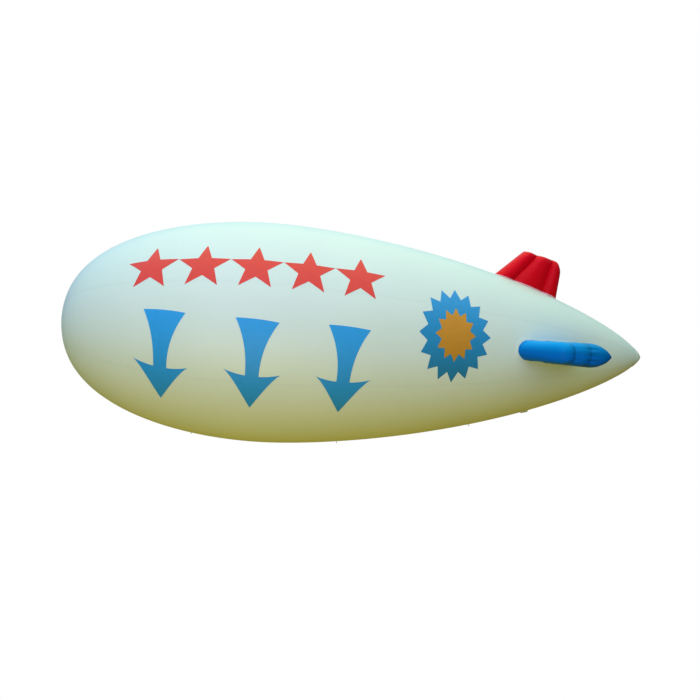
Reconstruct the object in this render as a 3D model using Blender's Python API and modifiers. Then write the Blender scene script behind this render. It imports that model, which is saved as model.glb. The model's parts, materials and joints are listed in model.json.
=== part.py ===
"""Advertising blimp balloon, built from the separate pieces that the real one is welded from.

Frame: metres, nose at -X, tail at +X, +Z up. The origin lies on the long axis, at the
centre of the gas volume, where the air holds the balloon up. A station is a distance from
the nose, and angles about the long axis are counted from +Y towards +Z.
"""

import math

import bmesh
import bpy
from mathutils import Matrix, Vector

GAP = 0.0003  # left between pieces that touch

# Envelope
LENGTH = 6.0
MAX_RADIUS = 1.115
FATTEST_AT = 0.335  # share of the length, counted from the nose
NOSE_POWERS = (2.0, 2.5)  # how full, how blunt
TAIL_POWERS = (1.7, 1.35)
NOSE_TO_ORIGIN = 2.49
WALL = 0.010
GORES = 8
FACETS_PER_GORE = 6
GORE_ROWS = 34
TIP_HOLE = 0.045  # radius at which the gores stop, under the end caps
NORMAL_STEP = 0.0005  # half the stretch of section over which its slope is taken
BELLY = -math.pi / 2

# End caps
NOSE_CAP_RADIUS = 0.16
TAIL_CAP_RADIUS = 0.11
CAP_THICKNESS = 0.004
CAP_ROWS = 6
CAP_STEPS = 24
NOSE_CAP_SEAT = 0.0008  # height of a cap's inner face over the skin, which clears its facets
TAIL_CAP_SEAT = 0.0013

# Fins: outlines in the fin's own plane, as station along the body and distance from the axis.
# A seam is given by its station at the root and at the tip.
TOP_FIN = {
    "root_front": 4.33,
    "tip_front": (4.62, 1.050),
    "tip_rear": (5.03, 0.935),
    "root_rear": 5.02,
    "seams": ((4.57, 4.76), (4.84, 4.91)),
}
SIDE_FIN = {
    "root_front": 4.33,
    "tip_front": (4.62, 1.060),
    "tip_rear": (5.08, 1.045),
    "root_rear": 5.02,
    "seams": ((4.57, 4.77), (4.83, 4.91)),
}
LOBES = ("front", "middle", "rear")
LOBE_THICKNESS = (0.188, 0.208, 0.212)
EDGE_THICKNESS = (0.030, 0.165, 0.185, 0.016)  # front edge, two seams, rear edge
SWELL_POWER = 0.8  # below 1, so that a lobe is rounder than a half sine
SECTION_COLUMNS = 7
FIN_ROWS = 9
FIN_SINK = 0.04  # how far a lobe starts below the skin before its root is cut to fit
TIP_ROUND_FROM = 0.72  # share of the height where a lobe's thickness starts to close
TIP_CLOSING = 0.97  # share of the closing that is reached at the tip, which stays blunt
FIN_BASE_THICKNESS = 0.003
FIN_BASE_MARGIN = 0.030
FIN_BASE_HALF_ANGLE = math.radians(10.5)
FIN_BASE_FACETS = 4
FIN_BASE_ROWS = 10
FIN_BASE_SEAT = 4.0 * GAP  # over the skin's own facets
ROOT_CUT_DEPTH = 0.2

# Round load patches
PATCH_THICKNESS = 0.004
PATCH_SEAT = 0.0009
PATCH_SEGMENTS = 24
PATCH_RINGS = 8
PATCH_FLATNESS = 0.4  # power of a sphere's height, which flattens it to a disc with a thin rim

# Mooring points on the belly
MOORING_STATIONS = {"fore": 1.25, "mid": 2.75, "aft": 4.15}
MOORING_PATCH_RADIUS = 0.11
WEBBING_WIDTH = 0.024
WEBBING_THICKNESS = 0.0025
WEBBING_TAB = 0.036  # reach of the sewn tab on each side of the loop
KEEPER_SEAT = 0.0004
PIVOT_DROP = 0.009  # from the tab's outer face to the swing axis, so that the bow clears it
NECK_HALF = 0.0026  # two plies, sewn together between the tabs and the loop
FLARE_RADIUS = 0.0025  # of the bend from the neck into a tab
FLARE_STEPS = 4
LOOP_BORE_RADIUS = 0.0025
LOOP_WALL = 0.0022
LOOP_STEPS = 14
BORE_STEPS = 16
RING_WIRE_RADIUS = 0.002
RING_INSIDE_WIDTH = 0.027
RING_INSIDE_HEIGHT = 0.020
RING_CORNER = 0.003
RING_BOW_STEPS = 12
CORNER_MIDDLE = 0.3  # share of the corner's size by which its middle point stands in

# Inflation valve, behind the aft mooring point
VALVE_STATION = 4.75
VALVE_PATCH_RADIUS = 0.085
VALVE_STEPS = 32
FLANGE_RADIUS = 0.046
FLANGE_HEIGHT = 0.004
BOSS_RADIUS = 0.030
BOSS_HEIGHT = 0.016
LID_RADIUS = 0.032
LID_THICKNESS = 0.006
LID_STEPS = 36
HINGE_OFFSET = 0.040  # from the valve's middle to its hinge pin, towards the nose
HINGE_HEIGHT = BOSS_HEIGHT + GAP + LID_THICKNESS / 2
PIN_RADIUS = 0.0020
PIN_RECESS = 0.0005
KNUCKLE_BORE = 0.0024
KNUCKLE_OUTER = 0.0055
KNUCKLE_WIDTH = 0.014
KNUCKLE_PLAY = 2.0 * GAP
ROD_SEGMENTS = 20
EAR_WIDTH = 0.004
EAR_LENGTH = 0.0088
EAR_FOOT = 0.001  # where an ear starts, inside the flange
EAR_TOP = HINGE_HEIGHT + 0.0054
ARM_LENGTH = 0.020
ARM_WIDTH = 0.0112
ARM_THICKNESS = 0.0042
ARM_OFFSET = 0.030  # from the valve's middle to the arm's middle

SHARP_ANGLE = math.radians(35)
MERGE = 0.00001

# name: red, green, blue, roughness, metallic
FINISHES = {
    "envelope_fabric": (0.72, 0.84, 0.80, 0.35, 0.0),
    "cap_fabric": (0.70, 0.82, 0.78, 0.40, 0.0),
    "red_fabric": (0.42, 0.01, 0.03, 0.35, 0.0),
    "blue_fabric": (0.01, 0.22, 0.60, 0.35, 0.0),
    "fin_base_fabric": (0.75, 0.55, 0.55, 0.45, 0.0),
    "patch_fabric": (0.66, 0.78, 0.74, 0.50, 0.0),
    "webbing": (0.75, 0.76, 0.74, 0.80, 0.0),
    "ring_steel": (0.62, 0.63, 0.65, 0.25, 1.0),
    "valve_plastic": (0.78, 0.80, 0.78, 0.45, 0.0),
    "lid_plastic": (0.20, 0.22, 0.24, 0.45, 0.0),
}


def skin_radius(station):
    """Radius of the envelope at a station.

    Both halves are superellipse quarters: (1 - share ** full) ** (1 / blunt), where share
    runs from 0 at the fattest ring to 1 at the tip.
    """
    fattest = FATTEST_AT * LENGTH
    if station <= fattest:
        full, blunt = NOSE_POWERS
        share = (fattest - station) / fattest
    else:
        full, blunt = TAIL_POWERS
        share = (station - fattest) / (LENGTH - fattest)
    share = min(max(share, 0.0), 1.0)
    return MAX_RADIUS * (1.0 - share ** full) ** (1.0 / blunt)


def station_of_radius(radius, towards_nose):
    """Station at which one end of the envelope has a radius."""
    fattest = FATTEST_AT * LENGTH
    full, blunt = NOSE_POWERS if towards_nose else TAIL_POWERS
    share = (1.0 - (radius / MAX_RADIUS) ** blunt) ** (1.0 / full)
    reach = -fattest if towards_nose else LENGTH - fattest
    return fattest + share * reach


def skin_normal(station):
    """Outward normal of the skin's section, as its parts along the axis and away from it."""
    low = max(station - NORMAL_STEP, 0.0)
    high = min(station + NORMAL_STEP, LENGTH)
    run = high - low
    rise = skin_radius(high) - skin_radius(low)
    size = math.hypot(run, rise)
    return -rise / size, run / size


def section_point(station, lift):
    """Point of the skin's section raised along its normal: x in the row frame, and radius."""
    along, away = skin_normal(station)
    return (station - NOSE_TO_ORIGIN + along * lift, skin_radius(station) + away * lift)


def cosine_stations(first, last, rows):
    """Stations that lie closer together near both ends."""
    return [
        first + (last - first) * 0.5 * (1.0 - math.cos(math.pi * row / rows))
        for row in range(rows + 1)
    ]


def arc(centre, radius, first, last, steps):
    """Points of a flat arc, both ends included."""
    points = []
    for index in range(steps + 1):
        angle = first + (last - first) * index / steps
        points.append((centre[0] + radius * math.cos(angle), centre[1] + radius * math.sin(angle)))
    return points


def clear_scene():
    """Remove what a new Blender file starts with."""
    for item in list(bpy.data.objects):
        bpy.data.objects.remove(item)


def new_collection(name):
    """Add a collection to the scene."""
    collection = bpy.data.collections.new(name)
    bpy.context.scene.collection.children.link(collection)
    return collection


def finish_material(name):
    """The Principled material of one finish, made once."""
    if name in bpy.data.materials:
        return bpy.data.materials[name]
    red, green, blue, roughness, metallic = FINISHES[name]
    material = bpy.data.materials.new(name)
    material.use_nodes = True
    shader = material.node_tree.nodes["Principled BSDF"]
    shader.inputs["Base Color"].default_value = (red, green, blue, 1.0)
    shader.inputs["Roughness"].default_value = roughness
    shader.inputs["Metallic"].default_value = metallic
    return material


def add_object(name, data, finish, collection):
    """Add an object to a collection, with its finish unless it is a cutter."""
    item = bpy.data.objects.new(name, data)
    if finish:
        data.materials.clear()
        data.materials.append(finish_material(finish))
    collection.objects.link(item)
    return item


def mesh_from(bm, name, smooth=True):
    """Turn a bmesh into a mesh with its faces pointing out."""
    bmesh.ops.recalc_face_normals(bm, faces=bm.faces)
    if bm.calc_volume(signed=True) < 0.0:
        bmesh.ops.reverse_faces(bm, faces=bm.faces)
    mesh = bpy.data.meshes.new(name)
    bm.to_mesh(mesh)
    bm.free()
    if smooth:
        mesh.shade_smooth()
        mesh.set_sharp_from_angle(angle=SHARP_ANGLE)
    return mesh


def spun_sheet(stations, lifts, start, angle, steps, name):
    """A sheet that follows the skin between two lifts, turned about the long axis.

    Its section is a strip of faces between the two raised lines, spun through the angle.
    """
    bm = bmesh.new()
    rails = []
    turn = Matrix.Rotation(start, 4, "X")
    for lift in lifts:
        rail = []
        for station in stations:
            x, radius = section_point(station, lift)
            rail.append(bm.verts.new(turn @ Vector((x, radius, 0.0))))
        rails.append(rail)
    for row in range(len(stations) - 1):
        corners = (rails[0][row], rails[0][row + 1], rails[1][row + 1], rails[1][row])
        bm.faces.new(corners)
    bmesh.ops.spin(
        bm,
        geom=bm.faces[:] + bm.edges[:] + bm.verts[:],
        cent=(0.0, 0.0, 0.0),
        axis=(1.0, 0.0, 0.0),
        angle=angle,
        steps=steps,
    )
    return mesh_from(bm, name)


def turned(name, profile, steps, finish, collection):
    """A turned piece: a profile in the XZ plane, top to bottom, screwed about Z."""
    mesh = bpy.data.meshes.new(name)
    edges = [(index, index + 1) for index in range(len(profile) - 1)]
    mesh.from_pydata([(radius, 0.0, height) for radius, height in profile], edges, [])
    item = add_object(name, mesh, finish, collection)
    screw = item.modifiers.new("turn", "SCREW")
    screw.steps = steps
    screw.render_steps = steps
    screw.use_merge_vertices = True
    screw.merge_threshold = MERGE
    screw.use_smooth_shade = True
    return item


def add_poly(curve, points):
    """Add a closed run of straight pieces to a curve."""
    spline = curve.splines.new("POLY")
    spline.points.add(len(points) - 1)
    for point, (x, y) in zip(spline.points, points):
        point.co = (x, y, 0.0, 1.0)
    spline.use_cyclic_u = True


def box(name, size, centre, frame, collection):
    """A box in the axes of a frame."""
    bm = bmesh.new()
    bmesh.ops.create_cube(bm, size=1.0)
    bmesh.ops.scale(bm, vec=size, verts=bm.verts)
    bmesh.ops.translate(bm, vec=centre, verts=bm.verts)
    item = add_object(name, mesh_from(bm, name, smooth=False), None, collection)
    item.matrix_world = frame
    return item


def rod(name, radius, length, centre, frame, collection):
    """A round rod along a frame's Y."""
    bm = bmesh.new()
    bmesh.ops.create_cone(
        bm,
        cap_ends=True,
        segments=ROD_SEGMENTS,
        radius1=radius,
        radius2=radius,
        depth=length,
        matrix=Matrix.Translation(centre) @ Matrix.Rotation(math.pi / 2, 4, "X"),
    )
    item = add_object(name, mesh_from(bm, name, smooth=False), None, collection)
    item.matrix_world = frame
    return item


def cut(item, cutter, operation="DIFFERENCE"):
    """Add a Boolean, whose other operand is kept as a cutter."""
    cutter.hide_render = True
    cutter.display_type = "WIRE"
    boolean = item.modifiers.new("cut", "BOOLEAN")
    boolean.operation = operation
    boolean.object = cutter


def skin_frame(station, angle, lift):
    """Placement of a rigid piece on the skin: its +Z away from the skin, its +X to the tail."""
    along, away = skin_normal(station)
    x, radius = section_point(station, lift)
    outward = Vector((along, away, 0.0))
    tailward = Vector((away, -along, 0.0))
    across = outward.cross(tailward)
    turn = Matrix.Rotation(angle, 4, "X")
    axes = Matrix((tailward, across, outward)).transposed().to_4x4()
    return turn @ Matrix.Translation((x, radius, 0.0)) @ axes


def conform(bm, station, angle):
    """Wrap a flat shape on the skin: its x runs along the body, its y around it, its z away."""
    turn = Matrix.Rotation(angle, 4, "X")
    around = skin_radius(station)
    for vert in bm.verts:
        x, radius = section_point(station + vert.co.x, vert.co.z)
        bend = Matrix.Rotation(vert.co.y / around, 4, "X")
        vert.co = turn @ bend @ Vector((x, radius, 0.0))


def build_gores(collection):
    """Eight wall-thick gores. Each is moved out a hair, so that its sides clear the next one."""
    first = station_of_radius(TIP_HOLE, True)
    last = station_of_radius(TIP_HOLE, False)
    stations = cosine_stations(first, last, GORE_ROWS)
    width = 2.0 * math.pi / GORES
    mesh = spun_sheet(stations, (0.0, -WALL), -width / 2, width, FACETS_PER_GORE, "gore")
    step_out = 0.5 * GAP / math.sin(width / 2)
    for index in range(GORES):
        middle = index * width
        gore = add_object(f"envelope_gore_{index + 1}", mesh, "envelope_fabric", collection)
        gore.rotation_euler.x = middle
        gore.location = (0.0, step_out * math.cos(middle), step_out * math.sin(middle))


def build_end_cap(name, radius, seat, towards_nose, collection):
    """A thin dish over the tips of the gores, turned about the long axis."""
    tip = 0.0 if towards_nose else LENGTH
    side = -1.0 if towards_nose else 1.0
    shares = [math.sin(0.5 * math.pi * row / CAP_ROWS) for row in range(CAP_ROWS + 1)]
    profile = []
    for lift, order in ((seat + CAP_THICKNESS, shares), (seat, reversed(shares))):
        for share in order:
            if share == 0.0:
                profile.append((0.0, side * (tip - NOSE_TO_ORIGIN) + lift))
                continue
            x, away = section_point(station_of_radius(radius * share, towards_nose), lift)
            profile.append((away, side * x))
    cap = turned(name, profile, CAP_STEPS, "cap_fabric", collection)
    cap.rotation_euler.y = side * math.pi / 2


def lobe_edges(fin, index):
    """The two long edges of a lobe, each as its root point and its tip point."""
    tip_front = Vector(fin["tip_front"])
    tip_rear = Vector(fin["tip_rear"])

    def tip_at(station):
        share = (station - tip_front.x) / (tip_rear.x - tip_front.x)
        return tip_front.lerp(tip_rear, share)

    def root_at(station):
        return Vector((station, skin_radius(station) - FIN_SINK))

    front = (root_at(fin["root_front"]), tip_front)
    rear = (root_at(fin["root_rear"]), tip_rear)
    seams = [(root_at(root), tip_at(tip)) for root, tip in fin["seams"]]
    return (front, *seams, rear)[index : index + 2]


def lobe_half_thickness(index, across):
    """Half the thickness of a lobe, which swells like a power of a half sine between its edges."""
    edge = EDGE_THICKNESS[index] * (1.0 - across) + EDGE_THICKNESS[index + 1] * across
    swell = math.sin(math.pi * across) ** SWELL_POWER
    return 0.5 * (edge + (LOBE_THICKNESS[index] - edge) * swell)


def lobe_mesh(fin, index, name):
    """One inflated lobe: sections lofted from under the skin to the rounded tip.

    Towards the tip the thickness closes like an ellipse.
    """
    front, rear = lobe_edges(fin, index)
    bm = bmesh.new()
    rings = []
    for row in range(FIN_ROWS + 1):
        share = row / FIN_ROWS
        closing = max(share - TIP_ROUND_FROM, 0.0) / (1.0 - TIP_ROUND_FROM)
        squash = math.sqrt(1.0 - (TIP_CLOSING * closing) ** 2)
        round_end = (1.0 - TIP_ROUND_FROM) * math.sin(0.5 * math.pi * closing)
        height = min(share, TIP_ROUND_FROM) + round_end
        start = front[0].lerp(front[1], height)
        end = rear[0].lerp(rear[1], height)
        inset = 0.5 * GAP / (end - start).length
        upper = []
        lower = []
        for column in range(SECTION_COLUMNS + 1):
            across = column / SECTION_COLUMNS
            point = start.lerp(end, inset + across * (1.0 - 2.0 * inset))
            half = squash * lobe_half_thickness(index, across)
            x = point.x - NOSE_TO_ORIGIN
            upper.append(bm.verts.new((x, point.y, half)))
            lower.append(bm.verts.new((x, point.y, -half)))
        rings.append(upper + lower[::-1])
    size = len(rings[0])
    for low, high in zip(rings, rings[1:]):
        for column in range(size):
            following = (column + 1) % size
            bm.faces.new((low[column], low[following], high[following], high[column]))
    bm.faces.new(rings[0])
    bm.faces.new(rings[-1])
    return mesh_from(bm, name)


def build_fin(name, fin, angle, finish, collection, cutters):
    """A fin: a base sheet that hugs the skin, and three lobes cut to stand on it."""
    facet = 2.0 * FIN_BASE_HALF_ANGLE / FIN_BASE_FACETS
    sag = skin_radius(fin["root_front"]) * (1.0 - math.cos(facet / 2))
    seat = FIN_BASE_SEAT + sag
    top = seat + FIN_BASE_THICKNESS
    first = fin["root_front"] - FIN_BASE_MARGIN
    last = fin["root_rear"] + FIN_BASE_MARGIN
    stations = cosine_stations(first, last, FIN_BASE_ROWS)
    base_mesh = spun_sheet(
        stations,
        (top, seat),
        -FIN_BASE_HALF_ANGLE,
        2 * FIN_BASE_HALF_ANGLE,
        FIN_BASE_FACETS,
        f"{name}_base",
    )
    base = add_object(f"{name}_base", base_mesh, "fin_base_fabric", collection)
    base.rotation_euler.x = angle
    cutter_mesh = spun_sheet(
        stations,
        (top + GAP, -ROOT_CUT_DEPTH),
        -2 * FIN_BASE_HALF_ANGLE,
        4 * FIN_BASE_HALF_ANGLE,
        2 * FIN_BASE_FACETS,
        f"{name}_cutter",
    )
    cutter = add_object(f"{name}_cutter", cutter_mesh, None, cutters)
    cutter.rotation_euler.x = angle
    for index, lobe in enumerate(LOBES):
        mesh = lobe_mesh(fin, index, f"{name}_lobe_{lobe}")
        item = add_object(f"{name}_lobe_{lobe}", mesh, finish, collection)
        item.rotation_euler.x = angle
        cut(item, cutter)


def build_patch(name, station, radius, collection):
    """A round load patch that follows the skin, thin at its rim. Returns its outer face's lift."""
    bm = bmesh.new()
    bmesh.ops.create_uvsphere(bm, u_segments=PATCH_SEGMENTS, v_segments=PATCH_RINGS, radius=1.0)
    half = PATCH_THICKNESS / 2
    for vert in bm.verts:
        level = math.copysign(abs(vert.co.z) ** PATCH_FLATNESS, vert.co.z)
        lift = PATCH_SEAT + half + half * level
        vert.co = Vector((vert.co.x * radius, vert.co.y * radius, lift))
    conform(bm, station, BELLY)
    add_object(name, mesh_from(bm, name), "patch_fabric", collection)
    return PATCH_SEAT + PATCH_THICKNESS


def keeper_outline():
    """Side view of a keeper, round its swing axis, with +y towards the skin.

    Returns its edge, of two tabs, a neck and a loop, and the edge of the loop's bore.
    """
    sheet = PIVOT_DROP
    top = PIVOT_DROP + WEBBING_THICKNESS
    outer = LOOP_BORE_RADIUS + LOOP_WALL
    flare_centre = (NECK_HALF + FLARE_RADIUS, sheet - FLARE_RADIUS)
    flare = arc(flare_centre, FLARE_RADIUS, math.pi / 2, math.pi, FLARE_STEPS)
    side = [(WEBBING_TAB, top), (WEBBING_TAB, sheet), *flare]
    neck_turn = math.acos(NECK_HALF / outer)
    loop = arc((0.0, 0.0), outer, neck_turn, -math.pi - neck_turn, LOOP_STEPS)
    other_side = [(-x, y) for x, y in reversed(side)]
    bore = arc((0.0, 0.0), LOOP_BORE_RADIUS, 0.0, 2.0 * math.pi, BORE_STEPS)
    return side + loop + other_side, bore[:-1]


def ring_outline():
    """Middle line of the D-ring: its straight bar on the swing axis, its bow hanging down."""
    half = RING_INSIDE_WIDTH / 2 + RING_WIRE_RADIUS
    drop = RING_INSIDE_HEIGHT + 2 * RING_WIRE_RADIUS
    bar = half - RING_CORNER
    inset = CORNER_MIDDLE * RING_CORNER
    corner = [(half - inset, -inset), (half, -RING_CORNER)]
    bow = arc((0.0, half - drop), half, 0.0, -math.pi, RING_BOW_STEPS)
    other_corner = [(-x, y) for x, y in reversed(corner)]
    return [(-bar, 0.0), (-bar / 2, 0.0), (bar / 2, 0.0), (bar, 0.0), *corner, *bow, *other_corner]


def build_mooring(place, station, collection):
    """A load patch, its webbing keeper and the D-ring that swings in it."""
    patch_top = build_patch(f"mooring_patch_{place}", station, MOORING_PATCH_RADIUS, collection)
    lift = patch_top + KEEPER_SEAT + WEBBING_THICKNESS + PIVOT_DROP
    pivot = skin_frame(station, BELLY, lift)

    webbing = bpy.data.curves.new(f"webbing_keeper_{place}", "CURVE")
    webbing.dimensions = "2D"
    webbing.fill_mode = "BOTH"
    webbing.extrude = WEBBING_WIDTH / 2
    for outline in keeper_outline():
        add_poly(webbing, outline)
    keeper = add_object(f"webbing_keeper_{place}", webbing, "webbing", collection)
    keeper.matrix_world = pivot @ Matrix.Rotation(-math.pi / 2, 4, "X")

    wire = bpy.data.curves.new(f"d_ring_{place}", "CURVE")
    wire.dimensions = "3D"
    wire.bevel_depth = RING_WIRE_RADIUS
    wire.bevel_resolution = 2
    add_poly(wire, ring_outline())
    ring = add_object(f"d_ring_{place}", wire, "ring_steel", collection)
    ring.rotation_euler = (math.pi / 2, 0.0, math.pi / 2)
    ring.location = pivot.translation


def build_valve_body(seat, collection, cutters):
    """The valve's flange and boss, with two hinge ears and the pin between them."""
    profile = (
        (0.0, BOSS_HEIGHT),
        (BOSS_RADIUS, BOSS_HEIGHT),
        (BOSS_RADIUS, FLANGE_HEIGHT),
        (FLANGE_RADIUS, FLANGE_HEIGHT),
        (FLANGE_RADIUS, 0.0),
        (0.0, 0.0),
    )
    body = turned("valve_body", profile, VALVE_STEPS, "valve_plastic", collection)
    body.matrix_world = seat
    ear_size = (EAR_LENGTH, EAR_WIDTH, EAR_TOP - EAR_FOOT)
    ear_across = KNUCKLE_WIDTH / 2 + KNUCKLE_PLAY + EAR_WIDTH / 2
    for side in (-1, 1):
        centre = (-HINGE_OFFSET, side * ear_across, (EAR_TOP + EAR_FOOT) / 2)
        cut(body, box("ear", ear_size, centre, seat, cutters), "UNION")
    pin_length = 2.0 * (ear_across + EAR_WIDTH / 2 - PIN_RECESS)
    pin_centre = (-HINGE_OFFSET, 0.0, HINGE_HEIGHT)
    cut(body, rod("pin", PIN_RADIUS, pin_length, pin_centre, seat, cutters), "UNION")


def build_valve_lid(seat, collection, cutters):
    """The lid: a disc, an arm and a bored knuckle, with its origin on the hinge pin."""
    disc = bmesh.new()
    bmesh.ops.create_cone(
        disc,
        cap_ends=True,
        segments=LID_STEPS,
        radius1=LID_RADIUS,
        radius2=LID_RADIUS,
        depth=LID_THICKNESS,
        matrix=Matrix.Translation((HINGE_OFFSET, 0.0, 0.0)),
    )
    lid = add_object("valve_lid", mesh_from(disc, "valve_lid"), "lid_plastic", collection)
    pin_centre = (-HINGE_OFFSET, 0.0, HINGE_HEIGHT)
    lid.matrix_world = seat @ Matrix.Translation(pin_centre)
    arm_size = (ARM_LENGTH, ARM_WIDTH, ARM_THICKNESS)
    arm_centre = (-ARM_OFFSET, 0.0, HINGE_HEIGHT)
    cut(lid, box("arm", arm_size, arm_centre, seat, cutters), "UNION")
    knuckle = rod("knuckle", KNUCKLE_OUTER, KNUCKLE_WIDTH, pin_centre, seat, cutters)
    cut(lid, knuckle, "UNION")
    cut(lid, rod("bore", KNUCKLE_BORE, 2.0 * KNUCKLE_WIDTH, pin_centre, seat, cutters))


def build_valve(collection, cutters):
    """The filling valve on its patch."""
    top = build_patch("valve_patch", VALVE_STATION, VALVE_PATCH_RADIUS, collection)
    seat = skin_frame(VALVE_STATION, BELLY, top + 2.0 * GAP)
    build_valve_body(seat, collection, cutters)
    build_valve_lid(seat, collection, cutters)


def main():
    """Build the whole balloon."""
    clear_scene()
    blimp = new_collection("advertising_blimp")
    cutters = new_collection("cutters")
    build_gores(blimp)
    build_end_cap("nose_cap", NOSE_CAP_RADIUS, NOSE_CAP_SEAT, True, blimp)
    build_end_cap("tail_cap", TAIL_CAP_RADIUS, TAIL_CAP_SEAT, False, blimp)
    build_fin("top_fin", TOP_FIN, math.pi / 2, "red_fabric", blimp, cutters)
    build_fin("near_fin", SIDE_FIN, math.pi, "blue_fabric", blimp, cutters)
    build_fin("far_fin", SIDE_FIN, 0.0, "blue_fabric", blimp, cutters)
    for place, station in MOORING_STATIONS.items():
        build_mooring(place, station, blimp)
    build_valve(blimp, cutters)


main()
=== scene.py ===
"""Looks of the advertising blimp balloon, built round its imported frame.

Lengths are metres in the frame's axes: nose at -X, tail at +X, +Z up. A station is a distance
from the nose, and an angle turns about the long axis from +Y towards +Z, so that the top is at
90 degrees, the side that the photograph shows at 180 and the belly at 270.
"""

import json
import logging
import math
from dataclasses import dataclass, field, replace
from enum import Enum

import bmesh
import bpy
import numpy as np
from mathutils import Matrix, Vector

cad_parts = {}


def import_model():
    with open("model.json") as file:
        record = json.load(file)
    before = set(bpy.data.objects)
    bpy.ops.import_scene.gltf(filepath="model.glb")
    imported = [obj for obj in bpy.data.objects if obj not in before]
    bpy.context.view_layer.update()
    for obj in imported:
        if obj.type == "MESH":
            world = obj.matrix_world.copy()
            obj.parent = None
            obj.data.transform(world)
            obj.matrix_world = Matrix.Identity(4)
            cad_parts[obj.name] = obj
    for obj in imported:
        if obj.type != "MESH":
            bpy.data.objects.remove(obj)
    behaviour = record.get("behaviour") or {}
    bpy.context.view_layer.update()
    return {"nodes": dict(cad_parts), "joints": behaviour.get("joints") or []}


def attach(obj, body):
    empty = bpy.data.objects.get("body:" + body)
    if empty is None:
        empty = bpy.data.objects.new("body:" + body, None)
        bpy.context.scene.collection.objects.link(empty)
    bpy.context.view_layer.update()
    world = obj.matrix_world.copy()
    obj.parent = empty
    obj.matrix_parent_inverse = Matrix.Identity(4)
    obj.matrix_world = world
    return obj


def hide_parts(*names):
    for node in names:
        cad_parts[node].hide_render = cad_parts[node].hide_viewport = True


LOG = logging.getLogger("blimp")
ROOT = "envelope"
GAP = 0.0003
MERGE = 1e-6
SHARP = math.radians(50)
MOORING_PATCH_RADIUS = 0.11
VALVE_PATCH_RADIUS = 0.085
VALVE_PATCH_LAYERS = 2

# The Mix node's two colour sockets go by number, because their names aren't theirs alone.
MIX_COLOURS = (6, 7)

Colour = tuple[float, float, float]
Stops = tuple[tuple[float, Colour], ...]
WHITE: Colour = (1.0, 1.0, 1.0)


class Bands(Enum):
    """Which way a woven pattern's threads are counted."""

    WEFT = "X"
    WARP = "Z"
    RIBS = "Y"
    TWILL = "DIAGONAL"


class Side(Enum):
    """A side of the balloon, by the angle of its middle line."""

    TOP = 90.0
    NEAR = 180.0
    FAR = 0.0
    BELLY = 270.0

    @property
    def angle(self) -> float:
        """The side's middle line in radians."""
        return math.radians(self.value)


def smooth_step(low: float, high: float, value: np.ndarray) -> np.ndarray:
    """Rise from 0 at low to 1 at high with level ends.

    Args:
        low: where the rise starts.
        high: where it ends.
        value: the places to work it out at.

    Returns:
        The share risen, 3t^2 - 2t^3 for the clipped share t of the way.
    """
    share = np.clip((value - low) / (high - low), 0.0, 1.0)
    return share * share * (3.0 - 2.0 * share)


def bell(distance: np.ndarray, width: float) -> np.ndarray:
    """A hump of height 1 that fades on both sides, exp(-(distance / width)^2)."""
    return np.exp(-((distance / width) ** 2))


def directions(count: int) -> np.ndarray:
    """Even directions round a full turn, in radians, without the one that meets the first."""
    return np.linspace(0.0, 2.0 * np.pi, count, endpoint=False)


def quad_indices(rows: int, columns: int, wrap: bool) -> np.ndarray:
    """Corner indices of the faces of a grid whose points are counted row by row.

    Args:
        rows: number of rows.
        columns: number of columns.
        wrap: whether the last column joins the first.

    Returns:
        An array of four indices for each face.
    """
    row = np.arange(rows - 1)
    column = np.arange(columns if wrap else columns - 1)
    low, left = np.meshgrid(row, column, indexing="ij")
    right = (left + 1) % columns
    corners = (low * columns + left, low * columns + right)
    others = ((low + 1) * columns + right, (low + 1) * columns + left)
    return np.stack([*corners, *others], axis=-1).reshape(-1, 4)


def build_mesh(
    name: str,
    points: np.ndarray,
    faces: np.ndarray,
    values: dict[str, np.ndarray] | None = None,
) -> bpy.types.Object:
    """Make an object of points and faces, merged where points meet and facing outwards.

    Args:
        name: the piece's name.
        points: positions, three numbers each.
        faces: corner indices, four for each face.
        values: one number for each point, by attribute name.

    Returns:
        The linked object.
    """
    mesh = bpy.data.meshes.new(name)
    mesh.from_pydata(points.reshape(-1, 3).tolist(), [], faces.tolist())
    for key, value in (values or {}).items():
        layer = mesh.attributes.new(key, "FLOAT", "POINT")
        layer.data.foreach_set("value", value.astype(np.float32).ravel())
    bm = bmesh.new()
    bm.from_mesh(mesh)
    bmesh.ops.remove_doubles(bm, verts=bm.verts, dist=MERGE)
    loose = [edge for edge in bm.edges if not edge.link_faces]
    bmesh.ops.delete(bm, geom=loose, context="EDGES")
    bmesh.ops.recalc_face_normals(bm, faces=bm.faces)
    if bm.calc_volume(signed=True) < 0.0:
        bmesh.ops.reverse_faces(bm, faces=bm.faces)
    bm.to_mesh(mesh)
    bm.free()
    mesh.shade_smooth()
    mesh.set_sharp_from_angle(angle=SHARP)
    item = bpy.data.objects.new(name, mesh)
    bpy.context.scene.collection.objects.link(item)
    return item


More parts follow.
